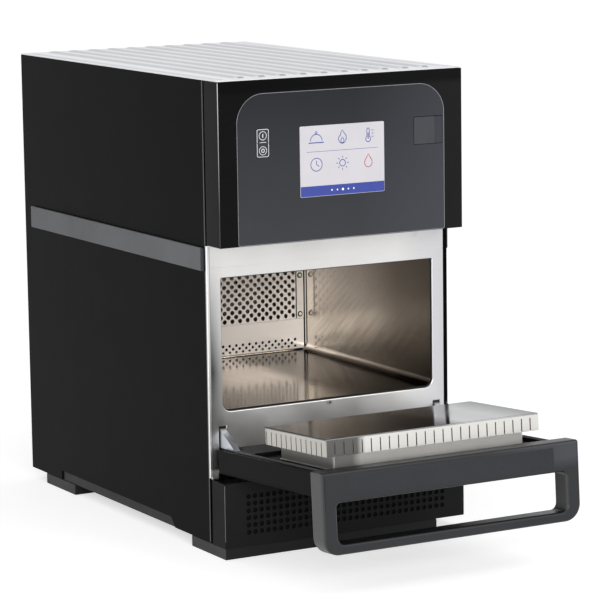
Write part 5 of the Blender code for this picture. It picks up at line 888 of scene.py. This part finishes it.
FRAME_OUTLINE = [(-175.4, 45.2), (171.8, 45.2), (171.8, 605.4), (-175.4, 605.4), (-175.4, 397.4), (-178.9, 397.4),
                 (-178.9, 99.4), (-175.4, 99.4)]
OPENING = rounded(rectangle(-158.5, 183.3, 153.7, 354.7), [12, 12, 2, 2], 10)
INNER = rounded(rectangle(-158.1, 185.6, 152.8, 354.2), [9.8, 9.8, 1.5, 1.5], 10)
frame_holes = [OPENING, rectangle(-125, 52, 125, 90), rectangle(-145, 430, 145, 592)]
for sign in (-1, 1):
    a, b = sorted((sign * 154.5, sign * 164.5))
    frame_holes.append(rectangle(a, 88.5, b, 164.8))
frame_face = moved(plate([FRAME_OUTLINE] + frame_holes, 3.0, 1.3, 3),
                   at(0, FRONT + 38.6 * MM) @ UPRIGHT)
returns = joined(block((-176.2, 38.6, 45.2), (-174.7, 58.6, 605.4), 0.2, 1),
                 block((174.7, 38.6, 45.2), (176.2, 58.6, 605.4), 0.2, 1))
crease = wire([(-172.0, 37.12, 368.6), (171.0, 37.12, 368.6)], 0.16, steps=2)
pips = [moved(turned([(0.9, 0), (0.75, 0.3), (0.4, 0.45)], 14), at(x * MM, 37.2 * MM, z * MM) @ UPRIGHT)
        for x, z in ((-7.0, 364.6), (62.0, 369.4), (109.0, 371.8), (118.0, 370.9), (126.0, 372.4))]
piece("frame_face", joined(frame_face, moved(joined(returns, crease, *pips), at(0, FRONT))), FRAME_STEEL.material,
      stands_for=["front_frame"], sharp=40)
boss = turned([(1.9, 0), (1.7, 0.3), (1.2, 0.4), (0.9, 0.2), (0.5, 0.2)], 24)
piece("frame_boss", moved(boss, at(-0.002, FRONT + 37.15 * MM, 0.1792) @ UPRIGHT), CHAMBER_STEEL.material)
trim = block((172.0, 37.1, 16.0), (177.2, 38.4, 604.8), 0.4, 2)
piece("casing_edge_right", moved(trim, at(0, FRONT)), GLOSS_BLACK.material)


def liner():
    """The cavity's floor, walls and roof as one wrapped sheet with coved lower corners, closed by a flat rear wall."""
    outer = rounded(rectangle(-159.3, 184.4, 154.0, 355.4), [11.0, 11.0, 2.7, 2.7], 10)
    depth = 377.0 - 40.3
    shell = moved(plate([outer, INNER], depth), at(0, FRONT + (40.3 + depth / 2) * MM) @ UPRIGHT)
    window = rectangle(-146.0, 190.0, 146.0, 349.0)
    back = moved(plate([outer, window], 1.2), at(0, FRONT + 377.6 * MM) @ UPRIGHT)
    return joined(shell, back)


piece("cavity_shell", liner(), CAVITY_STEEL.material, stands_for=["cavity_liner"], sharp=30)


def staggered(pitch, rows, radius, reach, sides):
    holes = []
    for index, z in enumerate(rows):
        shift = 0.0 if index % 2 == 0 else pitch / 2
        count = int((reach + pitch) / pitch)
        for k in range(-count - 1, count + 2):
            x = k * pitch + shift
            if abs(x) <= reach:
                holes.append(circle(x, z, radius, sides))
    return holes


# a dark ring in the gap between the frame and the cavity: painted shade
seam = moved(plate([OPENING, INNER], 1.4), at(0, FRONT + 39.5 * MM) @ UPRIGHT)
piece("opening_gap_shade", seam, PORT_AND_SHADE_BLACK.material)

upper_rows = [234.7 + 6.05 * i for i in range(19)]
upper_holes = staggered(12.1, upper_rows, 3.3, 133.5, 16)
upper = plate([rounded_box_outline(-155.4, 229.5, 150.2, 353.0, 1.0, 3)] + upper_holes, 1.6, 0.6, 2)
flanges = joined(*[moved(plate([rounded_box_outline(min(s * 139.4, s * 149.9), 230.0,
                                                    max(s * 139.4, s * 149.9), 351.8, 1.5, 4)], 1.0, 0.4, 2),
                         at(0, 0, 0.7 * MM)) for s in (-1, 1)])
piece("rear_grille", moved(joined(upper, flanges), at(0, FRONT + 376.1 * MM) @ UPRIGHT), GRILLE_STEEL.material,
      stands_for=["air_grille"])
lower_rows = [191.0, 195.8, 200.6]
lower_holes = staggered(10.45, lower_rows, 2.15, 136.5, 12)
lower = plate([rounded_box_outline(-155.4, 187.4, 150.2, 229.3, 1.0, 3)] + lower_holes, 1.2, 0.15, 1)
piece("return_grille", moved(lower, at(0, FRONT + 376.1 * MM) @ UPRIGHT), GRILLE_STEEL.material,
      stands_for=["air_return_panel"])
# a dark plate behind the lower grille: painted shade
return_shade_back = plate([rectangle(-145.6, 190.4, 145.6, 228.0)], 0.3)
piece("return_shade_plate", moved(return_shade_back, at(0, FRONT + 377.3 * MM) @ UPRIGHT), FOAM_AND_SHADE_BLACK.material)
# dark blocks in the gaps at the rear sheets' edges: painted shade
edge_gap = joined(moved(block((-155.0, 375.2, 186.5), (150.0, 376.9, 187.2)), at(0, FRONT)),
                  *[moved(block((x - 1.05, 375.2, 186.5), (x + 1.05, 376.9, 353.5)), at(0, FRONT))
                    for x in (-156.4, 150.95)],
                  *[moved(block((s * 138.2 - 0.75, 375.0, 230.5), (s * 138.2 + 0.75, 375.8, 352.6)), at(0, FRONT))
                    for s in (-1, 1)])
corner_strips = joined(*[moved(block((x - 0.5, 374.4, 187.5), (x + 0.5, 376.9, 353.5), 0.2, 2),
                               at(0, FRONT)) for x in (-157.8, 152.5)],
                       *[moved(block((s * 143.2 - 2.1, 374.9, 243.5), (s * 143.2 + 2.1, 375.6, 255.5), 0.3, 2),
                               at(0, FRONT)) for s in (-1, 1)])
emboss = wire([(152.8, 336.0, 353.6), (152.8, 336.0, 238.0), (152.9, 334.5, 232.0)], 0.25, steps=3)
piece("wall_fold", moved(emboss, at(0, FRONT)), CAVITY_STEEL.material)
piece("cavity_corners", corner_strips, GRILLE_STEEL.material)
baffle_holes = [[(x * 1.012 + 0.6, (y - 289.0) * 1.015 + 290.0) for x, y in hole]
                for hole in staggered(12.1, upper_rows, 3.5, 133.5, 12)]
baffle = plate([rectangle(-145.0, 230.2, 145.0, 348.8)] + baffle_holes, 0.6)
piece("rear_baffle", moved(baffle, at(0, FRONT + 377.9 * MM) @ UPRIGHT), GRILLE_STEEL.material)
piece("rear_sheet_gap_shade", edge_gap, FOAM_AND_SHADE_BLACK.material)
for side, sign in (("left", -1), ("right", 1)):
    for level, z in (("low", 236.3), ("high", 291.4)):
        head = moved(screw(2.5, 1.7), at(sign * 144 * MM, FRONT + 374.6 * MM, z * MM) @ UPRIGHT)
        piece(f"cavity_screw_{side}_{level}", head, SCREW_STEEL.material,
              stands_for=[f"grille_screw_{side}_{level}"])
        # a dark ring under each screw head: painted shade
        seat = moved(turned([(4.0, 0), (4.0, 0.3), (3.7, 0.45)], 24),
                     at(sign * 144 * MM, FRONT + 375.0 * MM, z * MM) @ UPRIGHT)
        piece(f"cavity_screw_seat_{side}_{level}", seat, PORT_AND_SHADE_BLACK.material)


# ---- door, in its own frame: X across, Y out through the thickness, Z away from the hinge ----

def in_door(mesh, y=0.0):
    """Lays a mesh made flat in XY onto the door at a height through its thickness (mm)."""
    return moved(mesh, DOOR @ at(0, y * MM) @ UPRIGHT)


def door_block(low, high, radius=0.0, segments=3):
    return moved(block(low, high, radius, segments), DOOR)


pan_outline = rounded(rectangle(-172.0, -16.6, 172.0, 240.7), 0.8, 3)
skin = in_door(plate([pan_outline], 2.7, 0.8, 2), -8.27)
walls = [door_block((-172.0, -8.6, -15.8), (-169.3, 20.58, 240.7), 0.6, 2),
         door_block((169.3, -8.6, -15.8), (172.0, 20.58, 240.7), 0.6, 2),
         door_block((-171.6, -8.6, -16.6), (171.6, 20.4, -13.9), 1.2, 3),
         door_block((-171.6, -8.6, 238.0), (171.6, 20.58, 240.7), 0.6, 2)]
piece("door_pan", joined(skin, *walls), DOOR_BLACK.material, "door", ["door_outer_panel"])

# the hinge edge is notched for the bracket's ears and the stays
notch = [(169.0, -13.6), (164.1, -13.6), (164.1, 13.4), (154.9, 13.4), (154.9, 7.5), (147.6, 7.5), (147.6, -13.6)]
heel = [(-x, z) for x, z in notch] + notch[::-1]
rim_outer = rounded(heel + [(169.0, 237.7), (-169.0, 237.7)],
                    [2.5] + [0] * (2 * len(notch) - 2) + [2.5, 2.5, 2.5], 5)
groove = rounded(rectangle(-158.0, 52.0, 158.0, 226.7), 6.0, 6)
pedestal_hole = rounded(rectangle(-137.3, 85.1, 137.3, 217.3), 3.0, 4)
rim = in_door(plate([rim_outer, groove], 8.0, 1.6, 3), 17.38)
floor = in_door(plate([rounded(rectangle(-160.0, 50.0, 160.0, 228.7), 6.0, 6), pedestal_hole], 3.0, 0.3, 1), 14.88)
# lighter ridges along the door's side rims: painted highlights
beads = [wire([(s * x, y, 16.0), (s * x, y, 60.0), (s * x, y, 234.5)], r, steps=2)
         for s in (-1, 1) for x, y, r in ((166.9, 21.2, 0.55), (163.2, 21.25, 0.8), (160.2, 21.0, 0.5))]
piece("rim_beads", moved(joined(*beads), DOOR), EDGE_HIGHLIGHT_GREY.material, "door")
piece("door_inner_rim", joined(rim, floor), SURROUND_BLACK.material, "door", ["door_surround"])


def pedestal():
    """The choke's base: a folded box with soft corners and a thin foot flange."""
    ring = rounded(rectangle(-137.0, 85.4, 137.0, 217.0), 3.0, 5)
    inside = rounded(rectangle(-135.8, 86.6, 135.8, 215.8), 1.8, 5)
    body = in_door(plate([ring, inside], 35.5 + 6.6), 14.4)
    flange = in_door(plate([rounded(rectangle(-138.6, 83.8, 138.6, 218.6), 3.0, 5), inside], 1.0, 0.4, 2), 17.0)
    return joined(body, flange)


piece("choke_base", pedestal(), PEDESTAL_STEEL.material, "door", ["choke_pedestal"])

CHOKE = (-152.5, 72.4, 152.5, 230.0)


def comb(length, count, pitch, first, depth, top_land, width):
    """A strip along X, open slots cut up from its lower edge; the top edge is at Y = 0."""
    points = [(0, 0), (0, -depth)]
    for i in range(count):
        x = first + i * pitch
        r = width / 2
        points += [(x - r, -depth), (x - r, -top_land - r)]
        points += [(x - r * math.cos(a), -top_land - r + r * math.sin(a)) for a in (math.pi / 4, math.pi / 2,
                                                                                   3 * math.pi / 4)]
        points += [(x + r, -top_land - r), (x + r, -depth)]
    points += [(length, -depth), (length, 0)]
    return points


def choke():
    """The raised plate: a bright top with rolled edges over a slotted skirt."""
    x0, z0, x1, z1 = CHOKE
    # the corners by the hinge are cut back, so that they clear the cavity's rounded corners
    near = 5.0
    top = in_door(plate([rounded(rectangle(x0, z0, x1, z1), [near, near, 2.2, 2.2], 6)], 3.0, 1.4, 4), 55.88)
    skirts = []
    drop, land, slot_width = 20.3, 3.4, 1.5

    def strip(length, count, pitch, first):
        return plate([comb(length, count, pitch, first, drop, land, slot_width)], 1.2, 0.15, 1)

    # the strip's X runs along the door's X or Z, and its Y runs along the door's Y
    for z, end in ((z0 + 0.6, near), (z1 - 0.6, 1.2)):
        skirts.append(moved(strip(x1 - x0 - 2 * end, 23, 12.75, 11.6 - end), DOOR @ at((x0 + end) * MM, 55.8 * MM, z * MM)))
    for x in (x0 + 0.6, x1 - 0.6):
        skirts.append(moved(strip(z1 - z0 - near - 1.2, 12, 12.5, 7.6 - near),
                            DOOR @ at(x * MM, 55.8 * MM, (z0 + near) * MM)
                            @ Matrix.Rotation(math.radians(-90), 4, "Y")))
    corners = [door_block((x - 0.75, 35.5, z1 - 1.5), (x + 0.75, 55.8, z1), 0.5, 2) for x in (x0 + 0.75, x1 - 0.75)]
    for s, edge in ((-1, x0), (1, x1)):
        bend = [(edge - s * near, z0 + 0.05), (edge - s * 0.05, z0 + near), (edge - s * 1.25, z0 + near),
                (edge - s * near, z0 + 1.25)]
        corners.append(in_door(plate([bend[::-s]], 20.2), 45.7))
    lining = moved(plate([rounded(rectangle(x0 + 1.9, z0 + 1.9, x1 - 1.9, z1 - 1.9), [near, near, 0, 0], 3),
                          rounded(rectangle(x0 + 2.7, z0 + 2.7, x1 - 2.7, z1 - 2.7), [near, near, 0, 0], 3)],
                         18.0), DOOR @ at(0, 45.6 * MM) @ UPRIGHT)
    return top, joined(*skirts, *corners), lining


for side, x in (("left", -163.4), ("right", 163.4)):
    rod = [(x, 19.4, 165.2), (x, 8.0, 159.6), (x, -13.6, 148.4)]
    piece(f"stay_rod_{side}", moved(wire(rod, 0.6), at(0, FRONT)), MOTOR_METAL.material, "door")

choke_top, choke_skirt, choke_lining = choke()
piece("choke_top", choke_top, CHOKE_STEEL.material, "door", ["choke_plate"])
piece("choke_skirt", choke_skirt, SKIRT_STEEL.material, "door")
piece("choke_lining", choke_lining, MOTOR_METAL.material, "door")


def handle():
    """The handle loop: a wide band over the door's free edge, two legs and a bar, softly rounded."""
    outer = rounded([(-184.0, -76.6), (184.0, -76.6), (184.0, 24.4), (-184.0, 24.4)], [22, 22, 3, 3], 14)
    window = rounded([(-164.0, -63.6), (164.0, -63.6), (164.0, -13.6), (-164.0, -13.6)], [9, 9, 6, 6], 8)
    recess = rounded(rectangle(-146.0, -7.6, 146.0, 18.4), 3.0, 5)
    return outer, window, recess


outer, window, recess = handle()
# the loop stands in the door's XY plane; its thickness runs along the door's Z
loop = moved(plate([outer, window], 29.4, 4.2, 6), DOOR @ at(0, 0, (241.0 + 15.0) * MM))
piece("handle_loop", loop, HANDLE_GREY.material, "door", ["door_handle"], sharp=50)
panel = plate([rounded(rectangle(-146.0, -7.6, 146.0, 18.4), 3.0, 5)], 2.0, 0.4, 2)
piece("handle_label_panel", moved(panel, DOOR @ at(0, 0, 269.9 * MM)), LABEL_GREY.material, "door")


# ---- studio ----------------------------------------------------------------------------------

def studio():
    scene = bpy.context.scene
    scene.view_settings.view_transform = "Standard"
    world = bpy.data.worlds.new("studio")
    scene.world = world
    world.use_nodes = True
    nodes, links = world.node_tree.nodes, world.node_tree.links
    nodes.clear()
    path = nodes.new("ShaderNodeLightPath")
    seen = nodes.new("ShaderNodeMath")
    seen.operation = "MAXIMUM"
    links.new(path.outputs["Is Camera Ray"], seen.inputs[0])
    links.new(path.outputs["Is Glossy Ray"], seen.inputs[1])
    either = nodes.new("ShaderNodeMath")
    either.operation = "MAXIMUM"
    links.new(seen.outputs[0], either.inputs[0])
    links.new(path.outputs["Is Transmission Ray"], either.inputs[1])
    white, soft = nodes.new("ShaderNodeBackground"), nodes.new("ShaderNodeBackground")
    white.inputs["Color"].default_value = (1, 1, 1, 1)
    white.inputs["Strength"].default_value = 1.0
    soft.inputs["Color"].default_value = (1, 1, 1, 1)
    soft.inputs["Strength"].default_value = 0.62
    blend = nodes.new("ShaderNodeMixShader")
    links.new(either.outputs[0], blend.inputs[0])
    links.new(soft.outputs[0], blend.inputs[1])
    links.new(white.outputs[0], blend.inputs[2])
    output = nodes.new("ShaderNodeOutputWorld")
    links.new(blend.outputs[0], output.inputs["Surface"])

    def lamp(name, place, target, size, power):
        light = bpy.data.lights.new(name, "AREA")
        light.shape = "RECTANGLE"
        light.size, light.size_y = size
        light.energy = power
        obj = bpy.data.objects.new(name, light)
        obj.location = place
        obj.rotation_euler = (Vector(target) - Vector(place)).to_track_quat("-Z", "Y").to_euler()
        scene.collection.objects.link(obj)

    lamp("key_light", (1.6, -2.6, 2.4), (0, 0, 0.3), (1.8, 1.8), 28)
    lamp("fill_light", (-2.4, -2.2, 1.6), (0, 0, 0.3), (2.0, 1.6), 8)
    lamp("front_light", (-1.0, -2.6, 0.8), (0, 0.1, 0.27), (1.2, 0.8), 39)

    floor_look = Look("floor_pale", Roughness=0.9, Specular_IOR_Level=0.1)
    tone = floor_look.ramp(floor_look.noise(3.0, 3.0), (0.3, (0.61,) * 3), (0.7, (0.63,) * 3))
    floor_look.set("Base Color", tone)
    ray = floor_look.node("ShaderNodeLightPath")
    any_ray = floor_look.math("MAXIMUM", floor_look.math("MAXIMUM", ray.outputs["Is Camera Ray"],
                                                         ray.outputs["Is Glossy Ray"]),
                              ray.outputs["Is Transmission Ray"])
    floor_look.set("Emission Color", (1, 1, 1))
    floor_look.set("Emission Strength", floor_look.math("MULTIPLY", any_ray, 0.62))
    ground = bmesh.new()
    bmesh.ops.create_grid(ground, x_segments=8, y_segments=8, size=30)
    mesh = bpy.data.meshes.new("ground")
    ground.to_mesh(mesh)
    ground.free()
    mesh.materials.append(floor_look.material)
    obj = bpy.data.objects.new("studio_floor", mesh)
    scene.collection.objects.link(obj)


def camera():
    """The photograph's view through a long lens, slightly rolled."""
    yaw, pitch, roll = math.radians(29.1874), math.radians(8.9722), math.radians(-0.8337)
    forward = Vector((math.sin(yaw) * math.cos(pitch), math.cos(yaw) * math.cos(pitch), -math.sin(pitch)))
    right = Vector((math.cos(yaw), -math.sin(yaw), 0))
    up_axis = right.cross(forward)
    across = math.cos(roll) * right + math.sin(roll) * up_axis
    above = -math.sin(roll) * right + math.cos(roll) * up_axis
    data = bpy.data.cameras.new("photo_camera")
    data.lens = 180.564
    data.sensor_width = 36.0
    data.sensor_fit = "HORIZONTAL"
    obj = bpy.data.objects.new("photo_camera", data)
    turn = Matrix((across, above, -forward)).transposed().to_4x4()
    obj.matrix_world = at(-1.9004, -3.4501, 0.9179) @ turn
    bpy.context.scene.collection.objects.link(obj)
    bpy.context.scene.camera = obj


studio()
camera()
bpy.context.view_layer.update()
